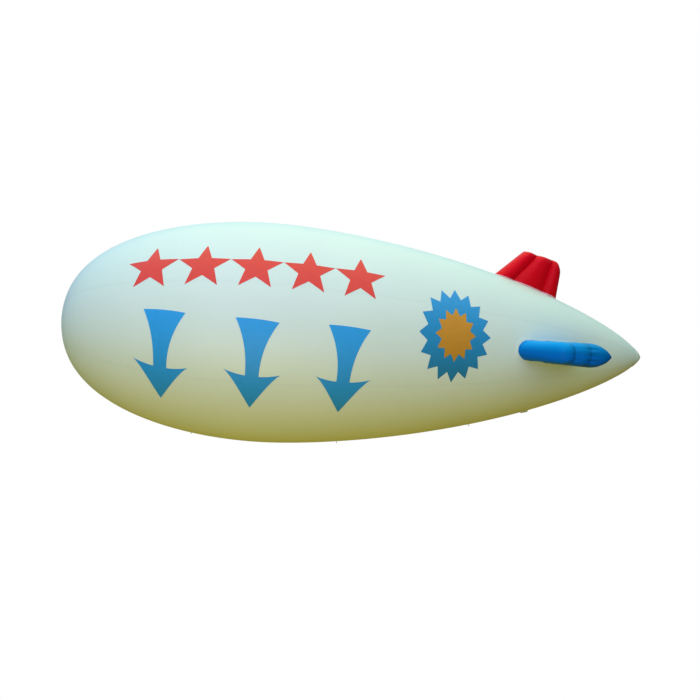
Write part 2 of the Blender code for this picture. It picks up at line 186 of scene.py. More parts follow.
def sheet_solid(
    name: str,
    outer: np.ndarray,
    inner: np.ndarray,
    wrap: bool = False,
    values: dict[str, np.ndarray] | None = None,
) -> bpy.types.Object:
    """A closed sheet between two grids of the same shape, with walls along its open edges.

    Args:
        name: the piece's name.
        outer: grid of points of the outer face, rows by columns by three.
        inner: the same for the inner face.
        wrap: whether the last column joins the first.
        values: by attribute name, numbers that spread over a grid's rows and columns.

    Returns:
        The piece.
    """
    rows, columns = outer.shape[:2]
    count = rows * columns
    front = quad_indices(rows, columns, wrap)
    back = front[:, ::-1] + count
    order = np.arange(count).reshape(rows, columns)
    edges = [order[0], order[-1]]
    if not wrap:
        edges += [order[:, 0], order[:, -1]]
    walls = []
    for edge in edges:
        line = np.append(edge, edge[0]) if wrap else edge
        start, end = line[:-1], line[1:]
        walls.append(np.stack([start, end, end + count, start + count], axis=-1))
    points = np.concatenate([outer.reshape(-1, 3), inner.reshape(-1, 3)])
    both = {}
    for key, value in (values or {}).items():
        one_face = np.broadcast_to(value, (rows, columns)).ravel()
        both[key] = np.concatenate([one_face, one_face])
    return build_mesh(name, points, np.concatenate([front, back, *walls]), both)


def swept_tube(
    name: str, path: np.ndarray, across: np.ndarray, radius: float, sides: int
) -> bpy.types.Object:
    """A round wire along a closed flat path.

    Each ring is a circle in the plane of the path's own normal and of the fixed direction.

    Args:
        name: the piece's name.
        path: points of the closed middle line.
        across: unit vector at right angles to the path's plane.
        radius: of the wire.
        sides: of its section.

    Returns:
        The piece.
    """
    tangent = np.roll(path, -1, axis=0) - np.roll(path, 1, axis=0)
    tangent /= np.linalg.norm(tangent, axis=1, keepdims=True)
    normal = np.cross(tangent, across)
    turn = directions(sides)
    ring = np.cos(turn)[None, :, None] * normal[:, None] + np.sin(turn)[None, :, None] * across
    points = path[:, None] + radius * ring
    closed = np.concatenate([points, points[:1]])
    return build_mesh(name, closed, quad_indices(len(closed), sides, True))


def join(name: str, items: list[bpy.types.Object]) -> bpy.types.Object:
    """Join pieces into one, under a name.

    Args:
        name: the joined piece's name.
        items: the pieces, which are used up.

    Returns:
        The joined piece.
    """
    with bpy.context.temp_override(active_object=items[0], selected_editable_objects=items):
        bpy.ops.object.join()
    items[0].name = name
    items[0].data.name = name
    return items[0]


class Graph:
    """Adds nodes to a shader tree."""

    def __init__(self, tree: bpy.types.NodeTree) -> None:
        """Work on a tree."""
        self.tree = tree

    def add(self, kind: str, inputs: dict | None = None, **settings: object) -> bpy.types.Node:
        """Add a node.

        Args:
            kind: the node's type.
            inputs: socket name or number to a value, or to another node's output.
            settings: properties of the node.

        Returns:
            The node.
        """
        node = self.tree.nodes.new(kind)
        for key, value in settings.items():
            setattr(node, key, value)
        for key, value in (inputs or {}).items():
            self.feed(node.inputs[key], value)
        return node

    def feed(self, socket: bpy.types.NodeSocket, value: object) -> None:
        """Set a socket to a value, or link an output to it.

        Args:
            socket: the input.
            value: a number, a colour or another node's output.
        """
        if isinstance(value, bpy.types.NodeSocket):
            self.tree.links.new(value, socket)
        else:
            socket.default_value = value

    def ramp(self, factor: bpy.types.NodeSocket, stops: Stops) -> bpy.types.NodeSocket:
        """A colour ramp.

        Args:
            factor: what it runs over, from 0 to 1.
            stops: (place, colour) pairs, in order.

        Returns:
            The colour.
        """
        node = self.add("ShaderNodeValToRGB", {"Fac": factor})
        elements = node.color_ramp.elements
        while len(elements) < len(stops):
            elements.new(0.5)
        for element, (place, colour) in zip(elements, stops):
            element.position = place
            element.color = (*colour, 1.0)
        return node.outputs["Color"]

    def multiplied(self, factor: object, first: object, second: object) -> bpy.types.NodeSocket:
        """Multiply two colours, as far as a factor says.

        Args:
            factor: from 0, which leaves the first colour, to 1.
            first: the first colour.
            second: the second colour.

        Returns:
            The product.
        """
        first_socket, second_socket = MIX_COLOURS
        inputs = {0: factor, first_socket: first, second_socket: second}
        node = self.add("ShaderNodeMix", inputs, data_type="RGBA", blend_type="MULTIPLY")
        return node.outputs[2]

    def combined(self, operation: str, first: object, second: object) -> bpy.types.NodeSocket:
        """Two numbers combined by one operation, such as ADD."""
        return self.add("ShaderNodeMath", {0: first, 1: second}, operation=operation).outputs[0]

    def scaled(
        self, value: bpy.types.NodeSocket, factor: float, offset: float
    ) -> bpy.types.NodeSocket:
        """A number times a factor, plus an offset."""
        inputs = {0: value, 1: factor, 2: offset}
        return self.add("ShaderNodeMath", inputs, operation="MULTIPLY_ADD").outputs[0]


@dataclass(frozen=True)
class Grain:
    """A noise over a piece: how fine it is, by its scale on a metre, and how detailed."""

    scale: float
    detail: float


@dataclass(frozen=True)
class Mottle:
    """A noise that dims a tint, to the dim colour where it is low and not at all where high."""

    grain: Grain
    dim: Colour
    low: float
    high: float


class Surface(Graph):
    """The graph of one material, round its Principled shader."""

    def __init__(self, name: str) -> None:
        """Start a material.

        Args:
            name: the material's name.
        """
        self.material = bpy.data.materials.new(name)
        self.material.use_nodes = True
        super().__init__(self.material.node_tree)
        self.shader = self.tree.nodes["Principled BSDF"]

    def place(self) -> bpy.types.NodeSocket:
        """The object's own coordinates."""
        return self.add("ShaderNodeTexCoord").outputs["Object"]

    def attribute(self, name: str) -> bpy.types.NodeSocket:
        """A number stored on the piece's points."""
        return self.add("ShaderNodeAttribute", attribute_name=name).outputs["Fac"]

    def noise(self, grain: Grain) -> bpy.types.NodeSocket:
        """Noise over the object's own coordinates."""
        inputs = {"Vector": self.place(), "Scale": grain.scale, "Detail": grain.detail}
        return self.add("ShaderNodeTexNoise", inputs).outputs["Fac"]

    def wave(self, scale: float, stray: float, bands: Bands) -> bpy.types.NodeSocket:
        """Bands over the object's own coordinates, which stray a little from straight."""
        inputs = {"Vector": self.place(), "Scale": scale, "Distortion": stray}
        return self.add("ShaderNodeTexWave", inputs, bands_direction=bands.value).outputs["Fac"]

    def mottled(self, tint: bpy.types.NodeSocket, mottle: Mottle) -> bpy.types.NodeSocket:
        """Dim a tint by a noise.

        Args:
            tint: the colour.
            mottle: the noise, and how it dims.

        Returns:
            The dimmed colour.
        """
        stops = ((mottle.low, mottle.dim), (mottle.high, WHITE))
        shade = self.ramp(self.noise(mottle.grain), stops)
        return self.multiplied(1.0, tint, shade)

    def shaded(
        self,
        factor: bpy.types.NodeSocket,
        colour: Colour,
        shade: float,
        between: tuple[float, float],
    ) -> bpy.types.NodeSocket:
        """A colour that is darker where a factor is low.

        Args:
            factor: a number from 0 to 1.
            colour: the full colour.
            shade: the share of it that is left where it is darkest.
            between: the factor where it is darkest, and where it is full.

        Returns:
            The shaded colour.
        """
        dark = tuple(shade * part for part in colour)
        low, high = between
        return self.ramp(factor, ((low, dark), (high, colour)))

    def scuffed(
        self, wear: bpy.types.NodeSocket, roughness: float, scuffs: float
    ) -> bpy.types.NodeSocket:
        """A roughness that wear spreads evenly to both sides."""
        return self.scaled(wear, scuffs, roughness - 0.5 * scuffs)

    def tint_with_painted_light(self, stops: Stops) -> bpy.types.NodeSocket:
        """A tint that runs with the point attribute "up", from -1 at the belly to 1 on top."""
        # This tint is painted light: it makes a surface lighter or darker by which way it faces.
        return self.ramp(self.scaled(self.attribute("up"), 0.5, 0.5), stops)

    def bump(self, layers: tuple[tuple[float, bpy.types.NodeSocket], ...]) -> None:
        """Give the shader bump.

        Args:
            layers: (depth in metres, height) pairs, the coarsest first.
        """
        normal = None
        for depth, height in layers:
            inputs = {"Height": height, "Distance": depth, "Strength": 1.0}
            if normal is not None:
                inputs["Normal"] = normal
            normal = self.add("ShaderNodeBump", inputs).outputs["Normal"]
        self.feed(self.shader.inputs["Normal"], normal)

    def finished(self, colour: object, roughness: object, **constants: float) -> bpy.types.Material:
        """Feed the shader.

        Args:
            colour: its base colour.
            roughness: its roughness.
            constants: values for its other sockets, by name with _ for a blank.

        Returns:
            The material.
        """
        self.feed(self.shader.inputs["Base Color"], colour)
        self.feed(self.shader.inputs["Roughness"], roughness)
        for key, value in constants.items():
            self.shader.inputs[key.replace("_", " ")].default_value = value
        return self.material


@dataclass(frozen=True)
class CoatedFabric:
    """Smooth plastic-coated fabric under gas pressure.

    Its tint runs with the point attribute "up" from the belly to the top, as painted light. The
    attribute "seam" darkens it as painted shade, along its welds and on the fin cells towards
    their rear. Fine threads and slack ripples are in the bump.
    """

    name: str
    tints: Stops
    roughness: float = 0.36
    scuffs: float = 0.16
    wear: Grain = Grain(5.0, 6.0)
    thread_scale: float = 330.0
    thread_stray: float = 0.4
    thread_depth: float = 0.00003
    ripple: Grain = Grain(3.2, 2.0)
    ripple_depth: float = 0.0008
    # Painted shade: how far the attribute "seam" darkens the tint, and the dark colour it goes
    # towards.
    painted_shade_strength: float = 0.03
    painted_shade_tint: Colour = (0.30, 0.31, 0.30)
    cloud: Mottle = Mottle(Grain(1.4, 4.0), (0.965, 0.970, 0.968), 0.30, 0.70)
    speck: Mottle = Mottle(Grain(160.0, 2.0), (0.975, 0.975, 0.975), 0.25, 0.75)
    coat: float = 0.05
    coat_roughness: float = 0.25
    specular: float = 0.35

    def build(self) -> bpy.types.Material:
        """Make the material.

        Returns:
            The material.
        """
        surface = Surface(self.name)
        tint = surface.mottled(surface.tint_with_painted_light(self.tints), self.cloud)
        tint = surface.mottled(tint, self.speck)
        # Painted shade along the welds, and on fin cells towards their rear.
        seam = surface.combined("MULTIPLY", surface.attribute("seam"), self.painted_shade_strength)
        tint = surface.multiplied(seam, tint, (*self.painted_shade_tint, 1.0))
        rough = surface.scuffed(surface.noise(self.wear), self.roughness, self.scuffs)
        weft = surface.wave(self.thread_scale, self.thread_stray, Bands.WEFT)
        warp = surface.wave(self.thread_scale, self.thread_stray, Bands.WARP)
        threads = surface.combined("ADD", weft, warp)
        ripples = surface.noise(self.ripple)
        surface.bump(((self.ripple_depth, ripples), (self.thread_depth, threads)))
        gloss = {"Specular_IOR_Level": self.specular, "Coat_Weight": self.coat}
        return surface.finished(tint, rough, Coat_Roughness=self.coat_roughness, **gloss)


@dataclass(frozen=True)
class PrintedInk:
    """Flat ink printed on the fabric, tinted by the attribute "up" and slightly matt."""

    name: str
    tints: Stops
    roughness: float = 0.42
    scuffs: float = 0.12
    wear: Grain = Grain(9.0, 4.0)
    thin_ink: Mottle = Mottle(Grain(22.0, 5.0), (0.95, 0.95, 0.95), 0.30, 0.65)
    tooth: Grain = Grain(420.0, 1.0)
    tooth_depth: float = 0.00003
    coat: float = 0.04
    specular: float = 0.25

    def build(self) -> bpy.types.Material:
        """Make the material.

        Returns:
            The material.
        """
        surface = Surface(self.name)
        # The tint by height is painted shade, darker towards the belly.
        tint = surface.mottled(surface.tint_with_painted_light(self.tints), self.thin_ink)
        rough = surface.scuffed(surface.noise(self.wear), self.roughness, self.scuffs)
        surface.bump(((self.tooth_depth, surface.noise(self.tooth)),))
        gloss = {"Specular_IOR_Level": self.specular, "Coat_Weight": self.coat}
        return surface.finished(tint, rough, **gloss)


@dataclass(frozen=True)
class WovenWebbing:
    """Polyester webbing with crosswise ribs and a herringbone weave in its bump."""

    name: str
    colour: Colour
    roughness: float = 0.82
    rib_scale: float = 420.0
    rib_stray: float = 0.6
    rib_depth: float = 0.0004
    twill_scale: float = 260.0
    twill_stray: float = 1.0
    twill_depth: float = 0.0002
    painted_hollow_shade: float = 0.55
    hollows: tuple[float, float] = (0.15, 0.55)
    soil: Mottle = Mottle(Grain(60.0, 3.0), (0.86, 0.84, 0.80), 0.35, 0.60)
    sheen: float = 0.25

    def build(self) -> bpy.types.Material:
        """Make the material.

        Returns:
            The material.
        """
        surface = Surface(self.name)
        ribs = surface.wave(self.rib_scale, self.rib_stray, Bands.RIBS)
        twill = surface.wave(self.twill_scale, self.twill_stray, Bands.TWILL)
        # Painted shade in the hollows between the ribs.
        tint = surface.shaded(ribs, self.colour, self.painted_hollow_shade, self.hollows)
        tint = surface.mottled(tint, self.soil)
        surface.bump(((self.rib_depth, ribs), (self.twill_depth, twill)))
        return surface.finished(tint, self.roughness, Sheen_Weight=self.sheen)


@dataclass(frozen=True)
class PolishedSteel:
    """Bright steel wire with faint drawing marks."""

    name: str
    colour: Colour
    wear: Grain = Grain(240.0, 4.0)
    worn_shade: float = 0.82
    worn: tuple[float, float] = (0.35, 0.70)
    scuffs: float = 0.18
    least_roughness: float = 0.14
    draw_marks: Grain = Grain(900.0, 2.0)
    draw_depth: float = 0.00004

    def build(self) -> bpy.types.Material:
        """Make the material.

        Returns:
            The material.
        """
        surface = Surface(self.name)
        wear = surface.noise(self.wear)
        tint = surface.shaded(wear, self.colour, self.worn_shade, self.worn)
        rough = surface.scaled(wear, self.scuffs, self.least_roughness)
        surface.bump(((self.draw_depth, surface.noise(self.draw_marks)),))
        return surface.finished(tint, rough, Metallic=1.0)


@dataclass(frozen=True)
class MouldedPlastic:
    """Moulded plastic with a fine grain and handling marks."""

    name: str
    colour: Colour
    roughness: float = 0.48
    scuffs: float = 0.14
    wear: Grain = Grain(70.0, 5.0)
    worn_shade: float = 0.86
    worn: tuple[float, float] = (0.30, 0.62)
    tooth: Grain = Grain(1300.0, 2.0)
    tooth_depth: float = 0.00006

    def build(self) -> bpy.types.Material:
        """Make the material.

        Returns:
            The material.
        """
        surface = Surface(self.name)
        wear = surface.noise(self.wear)
        tint = surface.shaded(wear, self.colour, self.worn_shade, self.worn)
        rough = surface.scuffed(wear, self.roughness, self.scuffs)
        surface.bump(((self.tooth_depth, surface.noise(self.tooth)),))
        return surface.finished(tint, rough)


Finish = CoatedFabric | PrintedInk | WovenWebbing | PolishedSteel | MouldedPlastic

# The fabric's own pale mint with painted light on it: darker and yellow-olive towards the belly, as
# light thrown up from a lawn, and bluer towards the top.
MINT_TINTS_WITH_PAINTED_LIGHT = (
    (0.00, (0.76, 0.80, 0.52)),
    (0.20, (0.78, 0.84, 0.64)),
    (0.45, (0.76, 0.89, 0.82)),
    (1.00, (0.73, 0.92, 0.88)),
)
# Red fin fabric with painted light: lighter towards the top fin's tip.
RED_TINTS_WITH_PAINTED_LIGHT = (
    (0.00, (0.58, 0.000, 0.002)),
    (0.55, (0.89, 0.000, 0.006)),
    (1.00, (0.92, 0.000, 0.018)),
)
# Blue fin fabric with painted light: light and greenish on the side fins' upper faces, darker round
# their edges, deeper blue on their lower faces.
BLUE_TINTS_WITH_PAINTED_LIGHT = (
    (0.00, (0.000, 0.155, 0.85)),
    (0.50, (0.000, 0.180, 0.635)),
    (1.00, (0.001, 0.400, 0.91)),
)
# Pink tape with painted shade, darker where it faces down.
PINK_TINTS_WITH_PAINTED_LIGHT = (
    (0.00, (0.80, 0.34, 0.36)),
    (1.00, (0.95, 0.42, 0.44)),
)
# The inks' own colours, each with painted shade that darkens it towards the belly.
ARROW_TINTS_WITH_PAINTED_LIGHT = (
    (0.15, (0.018, 0.28, 0.62)),
    (0.38, (0.022, 0.35, 0.82)),
    (0.60, (0.034, 0.40, 0.92)),
)
STAR_TINTS_WITH_PAINTED_LIGHT = (
    (0.40, (0.74, 0.050, 0.045)),
    (1.00, (0.90, 0.075, 0.060)),
)
BURST_TINTS_WITH_PAINTED_LIGHT = (
    (0.20, (0.014, 0.16, 0.26)),
    (0.50, (0.020, 0.27, 0.58)),
    (0.80, (0.040, 0.40, 0.85)),
)
CORE_TINTS_WITH_PAINTED_LIGHT = (
    (0.20, (0.42, 0.20, 0.012)),
    (0.80, (0.78, 0.36, 0.040)),
)

ENVELOPE = CoatedFabric("envelope_fabric", MINT_TINTS_WITH_PAINTED_LIGHT)
TAPE = CoatedFabric("seam_tape_fabric", MINT_TINTS_WITH_PAINTED_LIGHT, roughness=0.30, ripple_depth=0.0003)
PATCH = CoatedFabric("patch_fabric", MINT_TINTS_WITH_PAINTED_LIGHT, roughness=0.42, ripple_depth=0.0003)
# On the fins the seam shade is painted shade, darkening each cell towards its rear.
RED_FIN = CoatedFabric(
    "red_fabric", RED_TINTS_WITH_PAINTED_LIGHT, roughness=0.42, painted_shade_strength=0.38, coat=0.0, specular=0.12
)
BLUE_FIN = CoatedFabric(
    "blue_fabric", BLUE_TINTS_WITH_PAINTED_LIGHT, roughness=0.42, painted_shade_strength=0.55, coat=0.0, specular=0.06
)
PINK_TAPE = CoatedFabric("foot_tape_fabric", PINK_TINTS_WITH_PAINTED_LIGHT, specular=0.1)
PALE_FLANGE = CoatedFabric("fin_base_fabric", MINT_TINTS_WITH_PAINTED_LIGHT, roughness=0.40)
ARROW_INK = PrintedInk("arrow_ink", ARROW_TINTS_WITH_PAINTED_LIGHT)
STAR_INK = PrintedInk("star_ink", STAR_TINTS_WITH_PAINTED_LIGHT)
BURST_INK = PrintedInk("burst_ink", BURST_TINTS_WITH_PAINTED_LIGHT)
CORE_INK = PrintedInk("core_ink", CORE_TINTS_WITH_PAINTED_LIGHT)
WEBBING = WovenWebbing("webbing", (0.80, 0.81, 0.79))
THREAD = MouldedPlastic("thread", (0.62, 0.63, 0.62), 0.7)
STEEL = PolishedSteel("ring_steel", (0.78, 0.79, 0.81))
VALVE = MouldedPlastic("valve_plastic", (0.74, 0.76, 0.75))
LID = MouldedPlastic("lid_plastic", (0.60, 0.65, 0.67))


class Paint:
    """Makes each finish's material once and hands it out."""

    def __init__(self) -> None:
        """Start with no materials."""
        self.made: dict[str, bpy.types.Material] = {}

    def put(self, item: bpy.types.Object, finish: Finish) -> bpy.types.Object:
        """Give a piece its finish.

        Args:
            item: the piece.
            finish: what it is finished in.

        Returns:
            The piece.
        """
        if finish.name not in self.made:
            self.made[finish.name] = finish.build()
        item.data.materials.clear()
        item.data.materials.append(self.made[finish.name])
        return item


def place_piece(
    item: bpy.types.Object, body: str, nodes: tuple[str, ...] = ()
) -> bpy.types.Object:
    """Let a piece ride on a body and the frame nodes that it stands for.

    Args:
        item: the piece.
        body: the body that carries it.
        nodes: frame nodes that the piece replaces.

    Returns:
        The piece.
    """
    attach(item, body)
    if nodes:
        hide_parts(*nodes)
    LOG.info("%s rides on %s", item.name, body)
    return item


@dataclass(frozen=True)
class Skin:
    """The envelope's outer surface, a turned section with the relief of welded gores."""

    length: float = 6.0
    max_radius: float = 1.115
    fattest_at: float = 0.335
    nose_powers: tuple[float, float] = (2.0, 2.5)
    tail_powers: tuple[float, float] = (1.7, 1.35)
    nose_to_origin: float = 2.49
    gores: int = 8
    scallop_depth: float = 0.0010
    scallop_reach: float = 0.09
    relief_radii: tuple[float, float] = (0.12, 0.55)
    pucker_depth: float = 0.0003
    pucker_reach: float = 0.055
    pucker_pitch: float = 0.115
    pucker_shift: float = 1.7
    pucker_drift: float = 1.9
    pucker_drift_pitch: float = 0.73
    pucker_swell: float = 0.4
    pucker_swell_pitch: float = 0.41
    pucker_swell_shift: float = 2.3
    gather_depth: float = 0.0005
    gather_pleats: int = 40
    gather_drift: float = 1.3
    gather_drift_waves: int = 3
    gather_radius: float = 0.16
    gather_reach: float = 0.10
    gather_radii: tuple[float, float] = (0.10, 0.17)
    tape_half_width: float = 0.013
    tape_level_share: float = 0.85
    tape_thickness: float = 0.0004
    seam_reach: float = 0.02
    step: float = 0.0005
    fine_steps: int = 6001

    @property
    def gore_angle(self) -> float:
        """Angle that one gore takes up."""
        return 2.0 * math.pi / self.gores

    @property
    def fattest(self) -> float:
        """Station of the fattest ring."""
        return self.fattest_at * self.length

    def section(self, station: np.ndarray) -> np.ndarray:
        """Radius of the plain turned section, of two superellipse quarters.

        They meet at the fattest ring, and each is (1 - share^p)^(1/q) of its radius, with the
        share of the way from there to the end.

        Args:
            station: distances from the nose.

        Returns:
            The radii.
        """
        ahead = np.clip((self.fattest - station) / self.fattest, 0.0, 1.0)
        behind = np.clip((station - self.fattest) / (self.length - self.fattest), 0.0, 1.0)
        nose = (1.0 - ahead ** self.nose_powers[0]) ** (1.0 / self.nose_powers[1])
        tail = (1.0 - behind ** self.tail_powers[0]) ** (1.0 / self.tail_powers[1])
        return self.max_radius * np.where(station < self.fattest, nose, tail)

    def station_at(self, radius: np.ndarray | float, towards_nose: bool) -> np.ndarray:
        """Station at which one end of the section has a radius, the inverse of section.

        Args:
            radius: the radius.
            towards_nose: whether it is the nose end.

        Returns:
            The station.
        """
        full, blunt = self.nose_powers if towards_nose else self.tail_powers
        share = (1.0 - (np.asarray(radius) / self.max_radius) ** blunt) ** (1.0 / full)
        if towards_nose:
            return self.fattest * (1.0 - share)
        return self.fattest + share * (self.length - self.fattest)

    def lean(self, station: np.ndarray) -> tuple[np.ndarray, np.ndarray]:
        """Outward normal of the section, from a short step on both sides of a station.

        Args:
            station: distances from the nose.

        Returns:
            The normal's parts along the axis and away from it.
        """
        low = np.maximum(station - self.step, 0.0)
        high = np.minimum(station + self.step, self.length)
        run = high - low
        rise = self.section(high) - self.section(low)
        size = np.hypot(run, rise)
        return -rise / size, run / size

    def even_stations(self, first: float, last: float, rows: int) -> np.ndarray:
        """Stations at even distances along the curved section.

        Args:
            first: the first station.
            last: the last one.
            rows: how many.

        Returns:
            The stations.
        """
        swing = 0.5 * (1.0 - np.cos(np.linspace(0.0, np.pi, self.fine_steps)))
        dense = first + (last - first) * swing
        travel = np.hypot(np.diff(dense), np.diff(self.section(dense)))
        travelled = np.concatenate([[0.0], np.cumsum(travel)])
        return np.interp(np.linspace(0.0, travelled[-1], rows), travelled, dense)

    def seam_distance(self, station: np.ndarray, angle: np.ndarray) -> np.ndarray:
        """Distance round the skin to the nearest weld, which lies halfway between two gores."""
        offset = (angle / self.gore_angle) % 1.0 - 0.5
        return np.abs(offset) * self.gore_angle * self.section(station)

    def relief(self, station: np.ndarray, angle: np.ndarray) -> np.ndarray:
        """Height of the fabric over the plain turned section.

        It dips along each seam like exp(-(d/reach)^2), has short ripples across the seam that
        fade with the same law, and gathers round the two end caps in fine pleats. The ripples
        are a sine whose pitch drifts and whose depth swells, and each seam's are shifted.

        Args:
            station: distances from the nose.
            angle: turns about the long axis.

        Returns:
            The heights.
        """
        distance = self.seam_distance(station, angle)
        radius = self.section(station)
        ends = smooth_step(*self.relief_radii, radius)
        seam_number = np.round(angle / self.gore_angle - 0.5)
        travel = 2.0 * np.pi * station
        phase = travel / self.pucker_pitch + self.pucker_shift * seam_number
        phase = phase + self.pucker_drift * np.sin(travel / self.pucker_drift_pitch + seam_number)
        swell = np.sin(travel / self.pucker_swell_pitch + self.pucker_swell_shift * seam_number)
        strength = 1.0 - self.pucker_swell + self.pucker_swell * swell
        dip = -self.scallop_depth * bell(distance, self.scallop_reach)
        ripple = self.pucker_depth * strength * np.sin(phase)
        ripple = ripple * bell(distance, self.pucker_reach)
        stray = self.gather_drift * np.sin(self.gather_drift_waves * angle)
        pleats = np.sin(self.gather_pleats * angle + stray)
        gather = bell(radius - self.gather_radius, self.gather_reach)
        gather = smooth_step(*self.gather_radii, radius) * gather
        return (dip + ripple) * ends + self.gather_depth * pleats * gather

    def tape(self, station: np.ndarray, angle: np.ndarray) -> np.ndarray:
        """Height of the welded tape over the fabric, level with soft edges.

        Args:
            station: distances from the nose.
            angle: turns about the long axis.

        Returns:
            The heights.
        """
        level_within = self.tape_level_share * self.tape_half_width
        edge = smooth_step(self.tape_half_width, level_within, self.seam_distance(station, angle))
        return self.tape_thickness * edge

    def point(
        self,
        station: np.ndarray,
        angle: np.ndarray,
        lift: np.ndarray | float = 0.0,
        relief: bool = True,
    ) -> np.ndarray:
        """Points of the skin raised along its normal.

        Args:
            station: distance from the nose.
            angle: turn about the long axis.
            lift: height over the fabric.
            relief: whether the welded gores' relief is added.

        Returns:
            Positions, with a last axis of three.
        """
        station, angle, lift = np.broadcast_arrays(station, angle, lift)
        raised = lift + self.relief(station, angle) if relief else lift
        along, away = self.lean(station)
        radius = self.section(station) + away * raised
        x = station - self.nose_to_origin + along * raised
        return np.stack([x, radius * np.cos(angle), radius * np.sin(angle)], axis=-1)

    def values(self, station: np.ndarray, angle: np.ndarray) -> dict[str, np.ndarray]:
        """The attributes that finishes read: how far up the skin faces, and nearness of a seam."""
        # The facing sets the painted light by height, and the nearness of a seam sets painted shade
        # along the welds.
        distance = self.seam_distance(station, angle)
        return {"up": np.sin(angle), "seam": bell(distance, self.seam_reach)}


@dataclass
class Envelope:
    """The eight gores, the tapes over their welds, and the two end caps."""

    skin: Skin
    paint: Paint
    tip_hole: float = 0.045
    rows: int = 281
    columns: int = 33
    sheet: float = 0.0012
    tape_columns: int = 7
    tape_widest: float = 0.16
    tape_level_share: float = 0.8
    tape_lifts: tuple[float, float] = (0.00008, 0.00012)
    nose_cap_radius: float = 0.16
    tail_cap_radius: float = 0.11
    cap_rows: int = 41
    cap_columns: int = 96
    cap_seat: float = 0.0011
    cap_rim: float = 0.0014
    cap_lift: float = 0.0046
    cap_rounding: float = 0.004
    cap_welds: tuple[float, float] = (0.012, 0.022)
    cap_weld_width: float = 0.003
    cap_weld_depth: float = 0.0007
    cap_weld_painted_shade: float = 0.6

    def stations(self) -> np.ndarray:
        """Stations from the hole at the nose to the one at the tail, as a column."""
        first, last = (float(self.skin.station_at(self.tip_hole, nose)) for nose in (True, False))
        return self.skin.even_stations(first, last, self.rows)[:, None]

    def gore(self, index: int) -> bpy.types.Object:
        """One gore, its columns drawn together towards the seams by a sine.

        Args:
            index: its number, from the far side towards the top.

        Returns:
            The piece.
        """
        station = self.stations()
        across = 0.5 * np.sin(0.5 * np.pi * np.linspace(-1.0, 1.0, self.columns))[None, :]
        width = self.skin.gore_angle - GAP / self.skin.section(station)
        angle = index * self.skin.gore_angle + across * width
        outer = self.skin.point(station, angle)
        inner = self.skin.point(station, angle, -self.sheet)
        name = f"gore_panel_{index + 1}"
        item = sheet_solid(name, outer, inner, values=self.skin.values(station, angle))
        self.paint.put(item, ENVELOPE)
        return place_piece(item, ROOT, (f"envelope_gore_{index + 1}",))

    def seam_tape(self, index: int) -> bpy.types.Object:
        """The tape welded over the seam after a gore, with soft edges.

        Args:
            index: the gore's number.

        Returns:
            The piece.
        """
        station = self.stations()
        across = np.linspace(-1.0, 1.0, self.tape_columns)[None, :]
        half = np.minimum(self.skin.tape_half_width / self.skin.section(station), self.tape_widest)
        angle = (index + 0.5) * self.skin.gore_angle + across * half
        edge = smooth_step(1.0, self.tape_level_share, np.abs(across)) * self.skin.tape_thickness
        foot, rim = self.tape_lifts
        outer = self.skin.point(station, angle, rim + edge)
        inner = self.skin.point(station, angle, foot)
        values = self.skin.values(station, angle)
        item = sheet_solid(f"seam_tape_{index + 1}", outer, inner, values=values)
        self.paint.put(item, TAPE)
        return place_piece(item, ROOT)

    def end_cap(self, node: str, radius: float, towards_nose: bool) -> bpy.types.Object:
        """A dished cap over the gores' tips, with two welded rings near its rim.

        Its height rises from the rim with the root of the distance inside, and each weld takes
        off a bell.

        Args:
            node: the frame node that it stands for.
            radius: of the cap.
            towards_nose: whether it is the nose's.

        Returns:
            The piece.
        """
        share = np.linspace(0.0, 1.0, self.cap_rows)[:, None]
        angle = directions(self.cap_columns)[None, :]
        station = self.skin.station_at(radius * share, towards_nose)
        inside = radius * (1.0 - share)
        welds = sum(bell(inside - place, self.cap_weld_width) for place in self.cap_welds)
        rise = np.sqrt(np.clip(inside / self.cap_rounding, 0.0, 1.0))
        lift = self.cap_rim + (self.cap_lift - self.cap_rim) * rise - self.cap_weld_depth * welds
        outer = self.skin.point(station, angle, lift, relief=False)
        inner = self.skin.point(station, angle, self.cap_seat, relief=False)
        # The tint by height is painted light, and the welds' grooves get painted shade.
        values = {"up": np.sin(angle) * share, "seam": self.cap_weld_painted_shade * welds}
        item = sheet_solid(f"{node}_dish", outer, inner, wrap=True, values=values)
        self.paint.put(item, PATCH)
        return place_piece(item, ROOT, (node,))

    def build(self) -> None:
        """Build the whole envelope."""
        for index in range(self.skin.gores):
            self.gore(index)
        for index in range(self.skin.gores):
            self.seam_tape(index)
        self.end_cap("nose_cap", self.nose_cap_radius, True)
        self.end_cap("tail_cap", self.tail_cap_radius, False)


@dataclass(frozen=True)
class FinPlan:
    """One fin's outline in its own plane, as (station, distance from the axis).

    Each seam runs from a station at the root to one at the tip. The crests are each lobe's
    thickest place, as a share of its width. The tip's rear corner drops by a share of the
    height, and the whole fin droops towards its rear by an angle.
    """

    name: str
    side: Side
    finish: CoatedFabric
    foot: CoatedFabric
    slot: str
    root_front: float
    tip_front: tuple[float, float]
    tip_rear: tuple[float, float]
    root_rear: float
    seams: tuple[tuple[float, float], ...]
    seam_thickness: tuple[float, float]
    crests: tuple[float, float, float]
    rear_drop: float
    droop: float


